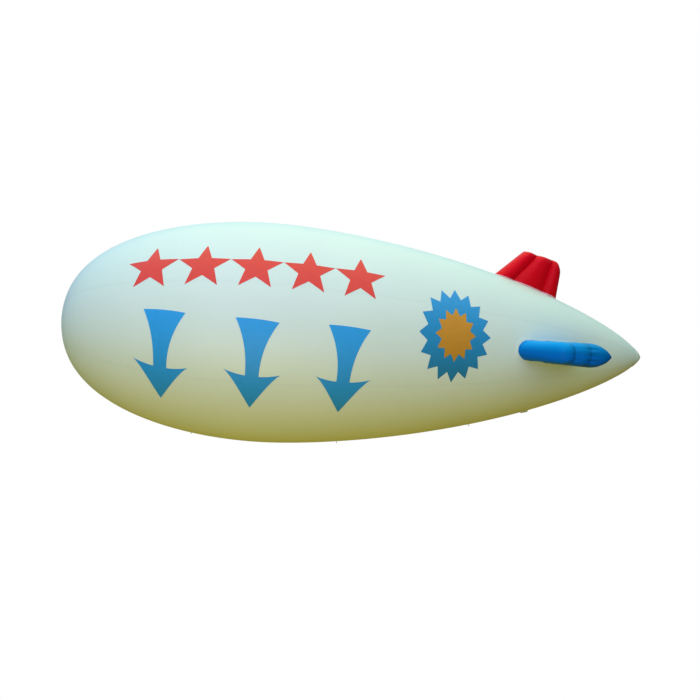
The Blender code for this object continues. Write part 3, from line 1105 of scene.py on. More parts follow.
TOP_FIN = FinPlan(
    name="top_fin",
    side=Side.TOP,
    finish=RED_FIN,
    foot=PINK_TAPE,
    slot="red_fabric",
    root_front=4.31,
    tip_front=(4.62, 1.050),
    tip_rear=(5.04, 0.945),
    root_rear=5.000,
    seams=((4.50, 4.76), (4.82, 4.92)),
    seam_thickness=(0.126, 0.140),
    crests=(0.45, 0.40, 0.36),
    rear_drop=0.24,
    droop=0.0,
)
NEAR_FIN = FinPlan(
    name="near_fin",
    side=Side.NEAR,
    finish=BLUE_FIN,
    foot=BLUE_FIN,
    slot="blue_fabric",
    root_front=4.335,
    tip_front=(4.62, 1.060),
    tip_rear=(5.10, 1.045),
    root_rear=5.02,
    seams=((4.57, 4.74), (4.83, 4.885)),
    seam_thickness=(0.180, 0.206),
    crests=(0.50, 0.50, 0.20),
    rear_drop=0.07,
    droop=math.radians(1.2),
)
FAR_FIN = replace(NEAR_FIN, name="far_fin", side=Side.FAR)


@dataclass(frozen=True)
class Closing:
    """How a lobe thins from its crest to an edge: as (1 - u ** power) ** root."""

    power: float
    root: float


ROUND_NOSE = Closing(2.0, 0.5)
WELDED = Closing(2.0, 1.0)
POINTED = Closing(1.75, 0.5)


@dataclass(frozen=True)
class Lobe:
    """One inflated cell of a fin.

    It has its thickness, how its two long edges close, how much painted shade darkens it all over
    as a share of the finish's seam shade, and how far its tip is gathered at either edge.
    """

    name: str
    thickness: float
    closings: tuple[Closing, Closing]
    painted_dimness: float
    gathers: tuple[float, float]


# The fourth numbers are painted shade, more for the cells further back.
LOBES = (
    Lobe("front", 0.190, (ROUND_NOSE, WELDED), 0.0, (0.0, 0.35)),
    Lobe("middle", 0.212, (WELDED, WELDED), 0.30, (0.35, 1.0)),
    Lobe("rear", 0.218, (WELDED, POINTED), 0.62, (1.0, 0.0)),
)


@dataclass(frozen=True)
class Wrinkles:
    """Waves in a lobe's face, in shares of its height and of its width.

    Those along its edges run with the height, their pitch strays, and each lobe's are
    shifted. Those near its foot and its tip cross it.
    """

    edge_waves: float = 7.0
    edge_shift: float = 1.5
    edge_stray: float = 2.0
    edge_stray_rate: float = 9.0
    edge_reach: float = 0.10
    edge_blend: tuple[float, float] = (0.02, 0.15)
    foot_waves: float = 3.0
    foot_shift: float = 0.4
    foot_at: float = 0.02
    foot_reach: float = 0.06
    tip_share: float = 0.8
    tip_rate: float = 17.0
    tip_at: float = 0.90
    tip_reach: float = 0.10

    def heights(self, index: int, across: np.ndarray, level: np.ndarray) -> np.ndarray:
        """The waves, each a sine.

        The edges' fade inwards like exp(-d/reach), and the others fade like exp(-(d/reach)^2)
        from their place up the lobe.

        Args:
            index: the lobe's number.
            across: from 0 at the lobe's front edge to 1 at its rear edge.
            level: from 0 at the skin to 1 at the tip.

        Returns:
            The heights as a share of the wrinkles' depth, about -1 to 1.
        """
        near_edge = np.minimum(across, 1.0 - across)
        turns = self.edge_waves * level + self.edge_shift * index
        stray = self.edge_stray * np.sin(self.edge_stray_rate * level)
        edges = np.sin(2.0 * np.pi * turns + stray) * np.exp(-near_edge / self.edge_reach)
        edges = edges * smooth_step(*self.edge_blend, near_edge)
        foot = np.sin(2.0 * np.pi * (self.foot_waves * across + self.foot_shift))
        foot = foot * bell(level - self.foot_at, self.foot_reach)
        tip = self.tip_share * np.sin(self.tip_rate * across)
        tip = tip * bell(level - self.tip_at, self.tip_reach)
        return edges + (foot + tip)


@dataclass
class Fin:
    """A fin of three inflated lobes on a welded base sheet."""

    skin: Skin
    paint: Paint
    plan: FinPlan
    rows: int = 97
    columns: int = 33
    tip_round_from: float = 0.74
    tip_fullness: float = 0.70
    tip_bulge: float = 0.006
    tip_weld_at: float = 0.80
    tip_weld_width: float = 0.012
    tip_weld_depth: float = 0.0016
    rear_drop_power: float = 2.4
    wrinkles: Wrinkles = Wrinkles()
    wrinkle_depth: float = 0.0022
    dimple_depth: float = 0.0060
    dimple_waves: float = 2.2
    dimple_shift: float = 0.9
    gather_reach: float = 0.30
    thinnest_creased: float = 0.02
    painted_shade_from: float = 0.40
    tint_from: float = 0.55
    tint_reach: float = 0.50
    base_rows: int = 121
    base_columns: int = 25
    base_thickness: float = 0.0032
    base_rim: float = 0.0006
    base_seat: float = 0.0004
    base_margin: float = 0.030
    base_half_width: float = 0.116
    base_squareness: float = 9.0
    base_taper: float = 0.04
    base_level_shares: tuple[float, float] = (0.95, 0.93)
    base_weld_at: float = 0.90
    base_weld_width: float = 0.02
    base_weld_depth: float = 0.0005
    foot_rows: int = 6
    foot_height: float = 0.038
    foot_lifts: tuple[float, float] = (0.0010, 0.0002)

    @property
    def across(self) -> np.ndarray:
        """Places across a lobe from 0 at its front edge to 1, closer together at the edges."""
        return 0.5 - 0.5 * np.cos(np.linspace(0.0, np.pi, self.columns))[None, :]

    def edge_ends(self, index: int) -> tuple[np.ndarray, np.ndarray]:
        """Ends of the seam before a lobe, or of the fin's outer edges.

        Args:
            index: the lobe's number, or the count of lobes for the rear edge.

        Returns:
            The root's station, and the tip as (station, distance from the axis).
        """
        tip_front = np.array(self.plan.tip_front)
        tip_rear = np.array(self.plan.tip_rear)
        if index == 0:
            return np.array(self.plan.root_front), tip_front
        if index == len(LOBES):
            return np.array(self.plan.root_rear), tip_rear
        root, tip = self.plan.seams[index - 1]
        share = (tip - tip_front[0]) / (tip_rear[0] - tip_front[0])
        return np.array(root), tip_front + share * (tip_rear - tip_front)

    def thickness(self, index: int) -> np.ndarray:
        """Thickness across a lobe, which swells from each edge to the crest by its closing.

        Args:
            index: the lobe's number.

        Returns:
            The thickness at each place across.
        """
        lobe = LOBES[index]
        edges = (0.0, *self.plan.seam_thickness, 0.0)
        crest = self.plan.crests[index]
        ahead = self.across < crest
        front, rear = lobe.closings
        edge = np.where(ahead, edges[index], edges[index + 1])
        reach = np.where(ahead, crest, 1.0 - crest)
        power = np.where(ahead, front.power, rear.power)
        root = np.where(ahead, front.root, rear.root)
        swell = np.clip(1.0 - (np.abs(self.across - crest) / reach) ** power, 0.0, 1.0) ** root
        return edge + (lobe.thickness - edge) * swell

    def rounded(self, level: np.ndarray) -> tuple[np.ndarray, np.ndarray]:
        """Round the tip off like a superellipse.

        From tip_round_from on, for a quarter turn t, the height rises with sin(t)^fullness and
        the thickness falls with cos(t)^fullness.

        Args:
            level: from 0 at the skin to 1 at the tip.

        Returns:
            Height as a share of the fin's, and the share of the thickness that is left.
        """
        closing = np.clip((level - self.tip_round_from) / (1.0 - self.tip_round_from), 0.0, 1.0)
        turn = 0.5 * np.pi * closing
        height = np.minimum(level, self.tip_round_from)
        height = height + (1.0 - self.tip_round_from) * np.sin(turn) ** self.tip_fullness
        return height, np.maximum(np.cos(turn), 0.0) ** self.tip_fullness

    def dimples(self, index: int, level: np.ndarray, squash: np.ndarray) -> np.ndarray:
        """Depth of the folds in the rounded tip, drawn towards the welds between lobes.

        They are waves over the share of thickness left, and fade from the welds like a bell.

        Args:
            index: the lobe's number.
            level: from 0 at the skin to 1 at the tip.
            squash: share of the thickness that is left there.

        Returns:
            The depths.
        """
        front, rear = LOBES[index].gathers
        gathered = front * bell(self.across, self.gather_reach)
        gathered = gathered + rear * bell(1.0 - self.across, self.gather_reach)
        folds = np.sin(2.0 * np.pi * self.dimple_waves * squash + self.dimple_shift)
        folds = folds * np.sin(np.pi * squash)
        return self.dimple_depth * gathered * folds * (level > self.tip_round_from)

    def face(self, index: int, level: np.ndarray) -> tuple[np.ndarray, np.ndarray, np.ndarray]:
        """One face of a lobe.

        Each place goes in a straight line from the root, where it stands on the base sheet, to
        the tip, and lies half the lobe's thickness from the fin's middle plane.

        Args:
            index: the lobe's number.
            level: from 0 at the skin to 1 at the tip, as a column.

        Returns:
            Station, distance from the axis and half thickness.
        """
        across = self.across
        front_root, front_tip = self.edge_ends(index)
        rear_root, rear_tip = self.edge_ends(index + 1)
        height, squash = self.rounded(level)
        if index == len(LOBES) - 1:
            height = height * (1.0 - self.plan.rear_drop * across ** self.rear_drop_power)
        full = self.thickness(index) * squash
        creased = full > self.thinnest_creased
        wrinkles = self.wrinkle_depth * self.wrinkles.heights(index, across, level)
        weld = self.tip_weld_depth * bell(level - self.tip_weld_at, self.tip_weld_width)
        half = 0.5 * full + wrinkles * squash * creased
        half = half - weld * creased
        root = front_root + across * (rear_root - front_root)
        seat = self.skin.section(root) + self.base_thickness + GAP
        start = np.sqrt(np.maximum(seat ** 2 - half ** 2, 0.0))
        bulge = self.tip_bulge * np.sin(np.pi * across) - self.dimples(index, level, squash)
        tip_station = front_tip[0] + across * (rear_tip[0] - front_tip[0])
        tip_distance = front_tip[1] + across * (rear_tip[1] - front_tip[1]) + bulge
        station = root + height * (tip_station - root)
        distance = start + height * (tip_distance - start)
        at_edge = np.minimum(across, 1.0 - across) < MERGE
        inset = 0.5 * GAP * np.sign(0.5 - across) * at_edge
        return station + inset, distance, half

    def turned(self, points: np.ndarray) -> np.ndarray:
        """Turn points from the fin's own plane to its side, its rear drooping a little.

        Args:
            points: (along, away from the axis, across the fin) positions.

        Returns:
            The positions in the frame's axes.
        """
        angle = self.plan.side.angle
        cosine, sine = math.cos(angle), math.sin(angle)
        y = points[..., 1] * cosine - points[..., 2] * sine
        z = points[..., 1] * sine + points[..., 2] * cosine
        return np.stack([points[..., 0], y, z - self.drooped(points)], axis=-1)

    def drooped(self, points: np.ndarray) -> np.ndarray:
        """How far each point droops, in proportion to its distance behind the root's front."""
        behind = points[..., 0] + self.skin.nose_to_origin - self.plan.root_front
        return behind * math.tan(self.plan.droop)

    def height_values(self, index: int, points: np.ndarray) -> np.ndarray:
        """The attribute "up" of a lobe's points.

        On the top fin it runs from 0 near the foot to 1 at the tip, and on a side fin from -1
        on its lower face to 1 on its upper one.

        Args:
            index: the lobe's number.
            points: its points in the frame's axes.

        Returns:
            One value for each point.
        """
        # The finish's tint follows this as painted light.
        if self.plan.side is Side.TOP:
            radial = np.hypot(points[..., 1], points[..., 2])
            return np.clip((radial - self.tint_from) / self.tint_reach, 0.0, 1.0)
        rise = points[..., 2] + self.drooped(points)
        return np.clip(rise / (0.5 * LOBES[index].thickness), -1.0, 1.0)

    def lobe(self, index: int) -> bpy.types.Object:
        """Build one lobe as rings down one face and up the other, closed under its root.

        Args:
            index: the lobe's number.

        Returns:
            The piece.
        """
        level = np.linspace(0.0, 1.0, self.rows)[:, None]
        station, distance, half = self.face(index, level)
        # Painted shade: the cell darkens towards its rear edge, and all over by its share, standing
        # in for light from the front.
        painted_dimness = LOBES[index].painted_dimness
        shade = painted_dimness + (1.0 - painted_dimness) * smooth_step(self.painted_shade_from, 1.0, self.across)
        shade = np.broadcast_to(shade, half.shape)
        ring = np.concatenate([station, station[:, ::-1]], axis=1) - self.skin.nose_to_origin
        away = np.concatenate([distance, distance[:, ::-1]], axis=1)
        points = np.stack([ring, away, np.concatenate([half, -half[:, ::-1]], axis=1)], axis=-1)
        points = self.turned(points)
        values = {"seam": np.concatenate([shade, shade[:, ::-1]], axis=1)}
        values["up"] = self.height_values(index, points)
        left = np.arange(self.columns - 1)
        last = 2 * self.columns - 1
        floor = np.stack([left, left + 1, last - 1 - left, last - left], axis=-1)
        faces = np.concatenate([quad_indices(self.rows, 2 * self.columns, True), floor])
        name = f"{self.plan.name}_cell_{LOBES[index].name}"
        item = build_mesh(name, points, faces, values)
        self.paint.put(item, self.plan.finish)
        node = f"{self.plan.name}_lobe_{LOBES[index].name}"
        return place_piece(item, ROOT, (node,))

    def base(self) -> bpy.types.Object:
        """The base sheet, whose ends are rounded and whose edges thin out softly.

        Its half width is that of a superellipse, (1 - share^squareness)^0.5, and tapers evenly
        towards the rear.

        Returns:
            The piece.
        """
        share = np.linspace(-1.0, 1.0, self.base_rows)[:, None]
        across = np.linspace(-1.0, 1.0, self.base_columns)[None, :]
        first = self.plan.root_front - self.base_margin
        last = self.plan.root_rear + self.base_margin
        station = 0.5 * (first + last) + 0.5 * (last - first) * share
        half_width = self.base_half_width * (1.0 - np.abs(share) ** self.base_squareness) ** 0.5
        half_width = half_width * (1.0 - self.base_taper * share)
        angle = self.plan.side.angle + across * half_width / self.skin.section(station)
        level_along, level_across = self.base_level_shares
        edge = smooth_step(1.0, level_across, np.abs(across))
        edge = edge * smooth_step(1.0, level_along, np.abs(share))
        weld = bell(np.abs(across) - self.base_weld_at, self.base_weld_width)
        lift = self.base_rim + (self.base_thickness - self.base_rim) * edge
        lift = lift - self.base_weld_depth * weld
        outer = self.skin.point(station, angle, lift)
        inner = self.skin.point(station, angle, self.base_seat)
        # The weld's groove gets painted shade, and the tint by height is painted light.
        values = {"up": np.sin(angle), "seam": weld}
        item = sheet_solid(f"{self.plan.name}_flange", outer, inner, values=values)
        self.paint.put(item, PALE_FLANGE)
        return place_piece(item, ROOT, (f"{self.plan.name}_base",))

    def foot_tape(self, sign: float) -> bpy.types.Object:
        """The tape that welds one face of the fin to its base, laid over the lobes' feet.

        Args:
            sign: 1 for one face, -1 for the other.

        Returns:
            The piece.
        """
        level = np.linspace(0.0, self.foot_height, self.foot_rows)[:, None]
        faces = [self.face(index, level) for index in range(len(LOBES))]
        station, distance, half = (np.concatenate(parts, axis=1) for parts in zip(*faces))
        station = station - self.skin.nose_to_origin
        rails = []
        for lift in self.foot_lifts:
            rail = np.stack([station, distance, sign * (half + lift)], axis=-1)
            rails.append(self.turned(rail))
        side = "left" if sign > 0.0 else "right"
        values = {"up": np.sin(np.arctan2(rails[0][..., 2], rails[0][..., 1]))}
        item = sheet_solid(f"{self.plan.name}_foot_tape_{side}", *rails, values=values)
        self.paint.put(item, self.plan.foot)
        return place_piece(item, ROOT)

    def build(self) -> None:
        """Build the fin."""
        self.base()
        for index in range(len(LOBES)):
            self.lobe(index)
        for sign in (1.0, -1.0):
            self.foot_tape(sign)


@dataclass(frozen=True)
class Arrow:
    """The downward arrow's flat outline, metres from the middle of its waist."""

    top_half: float = 0.1825
    waist_half: float = 0.0575
    stem: float = 0.481
    stem_flare: float = 2.3
    barb_half: float = 0.245
    barb_rise: float = 0.036
    barb_sweep: float = 1.7
    barb_spacing: float = 1.2
    head: float = 0.327
    head_hollow: float = 1.33
    turn: float = math.radians(-3.3)
    crown: float = 0.008
    crown_power: int = 6
    waist_columns: int = 13
    barb_columns: int = 25
    stem_rows: int = 49
    head_rows: int = 25

    def stem_grid(self) -> np.ndarray:
        """The stem, its half width waist + (top - waist) * t^flare up to a crowned top.

        Returns:
            A grid of flat points.
        """
        rise = np.linspace(0.0, 1.0, self.stem_rows)[:, None]
        across = np.linspace(-1.0, 1.0, self.waist_columns)[None, :]
        half = self.waist_half + (self.top_half - self.waist_half) * rise ** self.stem_flare
        up = self.stem * rise + self.crown * (1.0 - across ** 2) * rise ** self.crown_power
        return np.stack([across * half, up], axis=-1)

    def head_grid(self) -> np.ndarray:
        """The head between its swept upper edge and its hollow lower edges.

        Both edges are powers of the share of the way in from the barb's tip, and the middle
        columns are those of the stem.

        Returns:
            A grid of flat points.
        """
        waist = np.linspace(-1.0, 1.0, self.waist_columns) * self.waist_half
        spread = np.linspace(0.0, 1.0, self.barb_columns) ** self.barb_spacing
        right = self.barb_half + (self.waist_half - self.barb_half) * spread
        columns = np.concatenate([-right[:-1], waist, right[::-1][1:]])[None, :]
        inwards = self.barb_half - np.abs(columns)
        outer = np.clip(inwards / (self.barb_half - self.waist_half), 0.0, 1.0)
        upper = self.barb_rise * (1.0 - outer) ** self.barb_sweep
        fall = (self.barb_rise + self.head) * (inwards / self.barb_half) ** self.head_hollow
        lower = self.barb_rise - fall
        share = np.linspace(0.0, 1.0, self.head_rows)[:, None]
        return np.stack(np.broadcast_arrays(columns, lower + (upper - lower) * share), axis=-1)

    def rotated(self, grid: np.ndarray) -> np.ndarray:
        """Turn a flat grid as the printed arrows are turned.

        Args:
            grid: flat points.

        Returns:
            The turned points.
        """
        cosine, sine = math.cos(self.turn), math.sin(self.turn)
        x = grid[..., 0] * cosine - grid[..., 1] * sine
        y = grid[..., 0] * sine + grid[..., 1] * cosine
        return np.stack([x, y], axis=-1)


@dataclass(frozen=True)
class Rays:
    """A flat pointed figure: straight sides between an outer and an inner radius."""

    name: str
    finish: PrintedInk
    points: int
    inner_share: float
    size: tuple[float, float]
    rows: int
    steps: int = 8
    height: float = 0.0

    def grid(self) -> np.ndarray:
        """The figure as rings that grow from its middle.

        Returns:
            A grid of flat points.
        """
        corner = np.arange(2 * self.points)
        radius = np.where(corner % 2 == 0, 1.0, self.inner_share)
        turn = np.pi * corner / self.points
        tips = np.stack([radius * np.sin(turn), radius * np.cos(turn)], axis=-1)
        following = np.roll(tips, -1, axis=0)
        share = (np.arange(self.steps) / self.steps)[None, :, None]
        line = (tips[:, None] + share * (following - tips)[:, None]).reshape(1, -1, 2)
        spread = np.linspace(0.0, 1.0, self.rows)[:, None, None]
        return line * spread * np.array(self.size)


STAR_RADIUS = 0.235
BURST_SIZE = (0.345, 0.44)
CORE_SIZE = tuple(0.56 * part for part in BURST_SIZE)
STAR = Rays("star", STAR_INK, 5, 0.42, size=(STAR_RADIUS, STAR_RADIUS), rows=13)
BURST = (
    Rays("burst", BURST_INK, 16, 0.78, size=BURST_SIZE, rows=15),
    Rays("core", CORE_INK, 12, 0.72, size=CORE_SIZE, rows=15, height=0.0006),
)


@dataclass
class Print:
    """Inks printed on both sides: three arrows, a row of stars and a burst near the tail."""

    skin: Skin
    paint: Paint
    lift: float = 0.0008
    ink: float = 0.0004
    arrow: Arrow = field(default_factory=Arrow)
    arrow_stations: tuple[float, ...] = (1.161, 1.943, 2.717)
    arrow_waists: tuple[float, ...] = (-19.5, -19.4, -20.7)
    star_stations: tuple[float, ...] = (1.02, 1.47, 1.92, 2.37, 2.82)
    star_angle: float = 30.0
    burst_station: float = 3.70
    burst_angle: float = 6.0
    seam_merge: float = 2e-5
    wall_area: float = 1e-5

    def lay(
        self, side: Side, station: float, angle: float, flat: np.ndarray
    ) -> tuple[np.ndarray, np.ndarray]:
        """Lay a flat figure on the skin of a side.

        Args:
            side: the side of the balloon.
            station: of the figure's middle.
            angle: of the figure's middle in degrees above the side's middle line.
            flat: grid of (along the body, up round the body) in metres.

        Returns:
            Stations and angles of the figure's points. On the far side the figure is mirrored,
            so that it reads alike from there.
        """
        stations = station + flat[..., 0]
        up = math.radians(angle) + flat[..., 1] / self.skin.section(np.asarray(station))
        turn = -1.0 if side is Side.NEAR else 1.0
        return stations, side.angle + turn * up

    def figure(
        self,
        name: str,
        places: tuple[np.ndarray, np.ndarray],
        finish: PrintedInk,
        wrap: bool,
        height: float = 0.0,
    ) -> bpy.types.Object:
        """A thin closed ink film over the fabric and its tapes.

        Args:
            name: the film's name.
            places: its points' stations and angles.
            finish: its ink.
            wrap: whether its last column joins the first.
            height: of the ink under it.

        Returns:
            The film.
        """
        station, angle = places
        base = self.lift + height + self.skin.tape(station, angle)
        outer = self.skin.point(station, angle, base + self.ink)
        inner = self.skin.point(station, angle, base)
        # The attribute "up" sets the ink's painted shade by height.
        item = sheet_solid(name, outer, inner, wrap=wrap, values={"up": np.sin(angle)})
        return self.paint.put(item, finish)

    def arrow_on(self, side: Side, index: int) -> None:
        """Print one arrow, whose stem and head meet along the waist.

        Args:
            side: the side of the balloon.
            index: the arrow's number, from the nose.
        """
        place = self.arrow_stations[index], self.arrow_waists[index]
        parts = []
        for number, grid in enumerate((self.arrow.stem_grid(), self.arrow.head_grid())):
            places = self.lay(side, *place, self.arrow.rotated(grid))
            parts.append(self.figure(f"arrow_part_{number}", places, ARROW_INK, False))
        item = join(f"{side.name.lower()}_arrow_{index + 1}", parts)
        self.fuse(item)
        place_piece(item, ROOT)

    def fuse(self, item: bpy.types.Object) -> None:
        """Merge the two films of an arrow where they meet, and drop the wall between them.

        Args:
            item: the arrow.
        """
        bm = bmesh.new()
        bm.from_mesh(item.data)
        bmesh.ops.remove_doubles(bm, verts=bm.verts, dist=self.seam_merge)
        shared = {}
        for edge in bm.edges:
            if len(edge.link_faces) > 2:
                for face in edge.link_faces:
                    shared[face] = shared.get(face, 0) + 1
        small = [face for face in shared if face.calc_area() < self.wall_area]
        walls = [face for face in small if shared[face] > 1]
        bmesh.ops.delete(bm, geom=walls, context="FACES")
        bmesh.ops.recalc_face_normals(bm, faces=bm.faces)
        bm.to_mesh(item.data)
        bm.free()

    def rays_on(self, side: Side, rays: Rays, name: str, station: float, angle: float) -> None:
        """Print a pointed figure.

        Args:
            side: the side of the balloon.
            rays: the figure.
            name: its name on that side.
            station: of its middle.
            angle: of its middle in degrees above the side's middle line.
        """
        places = self.lay(side, station, angle, rays.grid())
        item = self.figure(f"{side.name.lower()}_{name}", places, rays.finish, True, rays.height)
        place_piece(item, ROOT)

    def build(self) -> None:
        """Print both sides."""
        for side in (Side.NEAR, Side.FAR):
            for index in range(len(self.arrow_stations)):
                self.arrow_on(side, index)
            for index, station in enumerate(self.star_stations):
                self.rays_on(side, STAR, f"{STAR.name}_{index + 1}", station, self.star_angle)
            for rays in BURST:
                self.rays_on(side, rays, rays.name, self.burst_station, self.burst_angle)


@dataclass
class LoadPatch:
    """A round patch of stacked fabric discs on the belly."""

    skin: Skin
    paint: Paint
    node: str
    station: float
    radius: float
    layers: int = 3
    rows: int = 61
    columns: int = 72
    seat: float = 0.0003
    rim: float = 0.0004
    top: float = 0.0048
    layer_step: float = 0.27
    layer_edge: float = 0.0016
    weld_inset: float = 0.008
    weld_width: float = 0.0018
    weld_depth: float = 0.0004
    weld_painted_shade: float = 0.8

    def build(self) -> None:
        """Build the patch: its height rises in soft steps towards its middle."""
        share = np.linspace(0.0, 1.0, self.rows)[:, None]
        turn = directions(self.columns)[None, :]
        reach = self.radius * share
        lift = np.zeros_like(reach)
        welds = np.zeros_like(reach)
        for layer in range(self.layers):
            edge = self.radius * (1.0 - self.layer_step * layer)
            step = smooth_step(edge, edge - self.layer_edge, reach)
            lift = lift + (self.top - self.rim) / self.layers * step
            welds = welds + bell(reach - edge + self.weld_inset, self.weld_width)
        lift = self.rim + lift - self.weld_depth * welds
        station = self.station + reach * np.cos(turn)
        around = reach * np.sin(turn) / self.skin.section(np.asarray(self.station))
        angle = Side.BELLY.angle + around
        outer = self.skin.point(station, angle, lift)
        inner = self.skin.point(station, angle, self.seat)
        # The welds' grooves get painted shade, and the tint by height is painted light.
        values = {"up": np.sin(angle), "seam": self.weld_painted_shade * welds}
        item = sheet_solid(f"{self.node}_discs", outer, inner, wrap=True, values=values)
        self.paint.put(item, PATCH)
        place_piece(item, ROOT, (self.node,))


@dataclass
class Mooring:
    """A webbing keeper sewn on its load patch, and the D-ring that swings in it."""

    skin: Skin
    paint: Paint
    place: str
    pivot: Vector
    width: float = 0.024
    thickness: float = 0.0021
    tab: float = 0.036
    tab_level: float = 0.0103
    ply_offset: float = 0.0013
    flare: float = 0.0035
    bore: float = 0.0025
    tab_points: int = 26
    bend_points: int = 10
    neck_points: int = 8
    loop_points: int = 49
    ribbon_columns: int = 21
    rib_depth: float = 0.00012
    ribs: float = 9.0
    edge_thinning: float = 0.6
    edge_power: int = 8
    stitch_pitch: float = 0.0026
    stitch_half: float = 0.0009
    stitch_radius: float = 0.00032
    stitch_proud: float = 0.0002
    stitch_steps: int = 5
    stitch_sides: int = 6
    stitch_margin: float = 0.003
    stitch_start: float = 0.0085
    wire: float = 0.002
    wire_sides: int = 20
    ring_corner: float = 0.003
    corner_points: int = 13
    bow_points: int = 65
    bar_points: int = 17
    inside_width: float = 0.027
    inside_height: float = 0.020

    @property
    def station(self) -> float:
        """Station under which the pivot hangs, near enough for the slope there."""
        return self.pivot.x + self.skin.nose_to_origin

    def axes(self) -> np.ndarray:
        """Rows: tailward along the skin, towards the skin, and across.

        Returns:
            The three unit vectors.
        """
        along, away = (float(part) for part in self.skin.lean(np.asarray(self.station)))
        tailward = np.array([away, 0.0, along])
        inward = np.array([-along, 0.0, away])
        return np.stack([tailward, inward, np.array([0.0, 1.0, 0.0])])

    def webbing_path(self) -> np.ndarray:
        """Middle line of the webbing: tab, bend, neck, the loop round the wire, and back.

        The bend and the loop are arcs, and the rest is straight.

        Returns:
            Flat points, (tailward, towards the skin) from the pivot.
        """
        radius = self.bore + 0.5 * self.thickness
        neck_turn = math.acos(self.ply_offset / radius)
        loop = np.linspace(np.pi - neck_turn, 2.0 * np.pi + neck_turn, self.loop_points)
        around = radius * np.stack([np.cos(loop), np.sin(loop)], axis=-1)
        run = np.linspace(-self.tab, -self.ply_offset - self.flare, self.tab_points)
        flat = np.stack([run, np.full_like(run, self.tab_level)], axis=-1)
        turn = np.linspace(0.5 * np.pi, 0.0, self.bend_points)[1:]
        centre = np.array([-self.ply_offset - self.flare, self.tab_level - self.flare])
        bend = centre + self.flare * np.stack([np.cos(turn), np.sin(turn)], axis=-1)
        drop = np.linspace(bend[-1, 1], around[0, 1], self.neck_points)[1:-1]
        neck = np.stack([np.full_like(drop, -self.ply_offset), drop], axis=-1)
        side = np.concatenate([flat, bend, neck])
        return np.concatenate([side, around, side[::-1] * np.array([-1.0, 1.0])])

    def keeper(self) -> bpy.types.Object:
        """The webbing as a ribbon along its path, ribbed and thinner at its woven edges.

        Returns:
            The piece.
        """
        path = self.webbing_path()
        tangent = np.gradient(path, axis=0)
        tangent /= np.linalg.norm(tangent, axis=1, keepdims=True)
        normal = np.stack([-tangent[:, 1], tangent[:, 0]], axis=-1)
        across = np.linspace(-1.0, 1.0, self.ribbon_columns)[None, :]
        fullness = 1.0 - self.edge_thinning * np.abs(across) ** self.edge_power
        half = 0.5 * self.thickness * np.sqrt(fullness)
        half = half + self.rib_depth * np.cos(across * np.pi * self.ribs)
        rails = []
        for sign in (1.0, -1.0):
            flat = path[:, None] + (sign * half)[..., None] * normal[:, None]
            spread = np.broadcast_to(0.5 * self.width * across, flat.shape[:2])
            local = np.concatenate([flat, spread[..., None]], axis=-1)
            rails.append(np.array(self.pivot) + local @ self.axes())
        item = sheet_solid(f"keeper_webbing_{self.place}", *rails)
        self.paint.put(item, WEBBING)
        return place_piece(item, ROOT, (f"webbing_keeper_{self.place}",))

    def stitch_lines(self) -> tuple[np.ndarray, np.ndarray]:
        """Where the stitches lie: a box with its two diagonals, on both tabs.

        Returns:
            The stitches' middles and their directions, both flat.
        """
        first, last = self.stitch_start, self.tab - self.stitch_margin
        side = 0.5 * self.width - self.stitch_margin
        corners = np.array([[first, -side], [last, -side], [last, side], [first, side]])
        middles, ways = [], []
        for start, end in ((0, 1), (1, 2), (2, 3), (3, 0), (0, 2), (1, 3)):
            span = corners[end] - corners[start]
            count = int(np.linalg.norm(span) / self.stitch_pitch)
            share = (np.arange(count) + 0.5)[:, None] / count
            middles.append(corners[start] + share * span)
            ways.append(np.repeat((span / np.linalg.norm(span))[None, :], count, axis=0))
        middle, way = np.concatenate(middles), np.concatenate(ways)
        mirror = np.array([-1.0, 1.0])
        return np.concatenate([middle, middle * mirror]), np.concatenate([way, way * mirror])

    def stitches(self) -> bpy.types.Object:
        """The sewing thread, each stitch a short spindle of a half ellipse's profile.

        Returns:
            The piece.
        """
        middle, way = (part[:, :, None, None] for part in self.stitch_lines())
        surface = self.tab_level - 0.5 * self.thickness - self.stitch_proud
        long = np.linspace(-1.0, 1.0, self.stitch_steps)[None, :, None]
        turn = directions(self.stitch_sides)[None, None, :]
        girth = self.stitch_radius * np.sqrt(np.clip(1.0 - long ** 2, 0.0, 1.0))
        along = self.stitch_half * long
        sideways = girth * np.cos(turn)
        x = middle[:, 0] + way[:, 0] * along - way[:, 1] * sideways
        y = middle[:, 1] + way[:, 1] * along + way[:, 0] * sideways
        z = surface - girth * np.sin(turn)
        local = np.stack(np.broadcast_arrays(x, z, y), axis=-1)
        points = np.array(self.pivot) + local @ self.axes()
        faces = quad_indices(self.stitch_steps, self.stitch_sides, True)
        offsets = np.arange(len(middle)) * self.stitch_steps * self.stitch_sides
        all_faces = (faces[None] + offsets[:, None, None]).reshape(-1, 4)
        item = build_mesh(f"stitching_{self.place}", points, all_faces)
        self.paint.put(item, THREAD)
        return place_piece(item, ROOT)

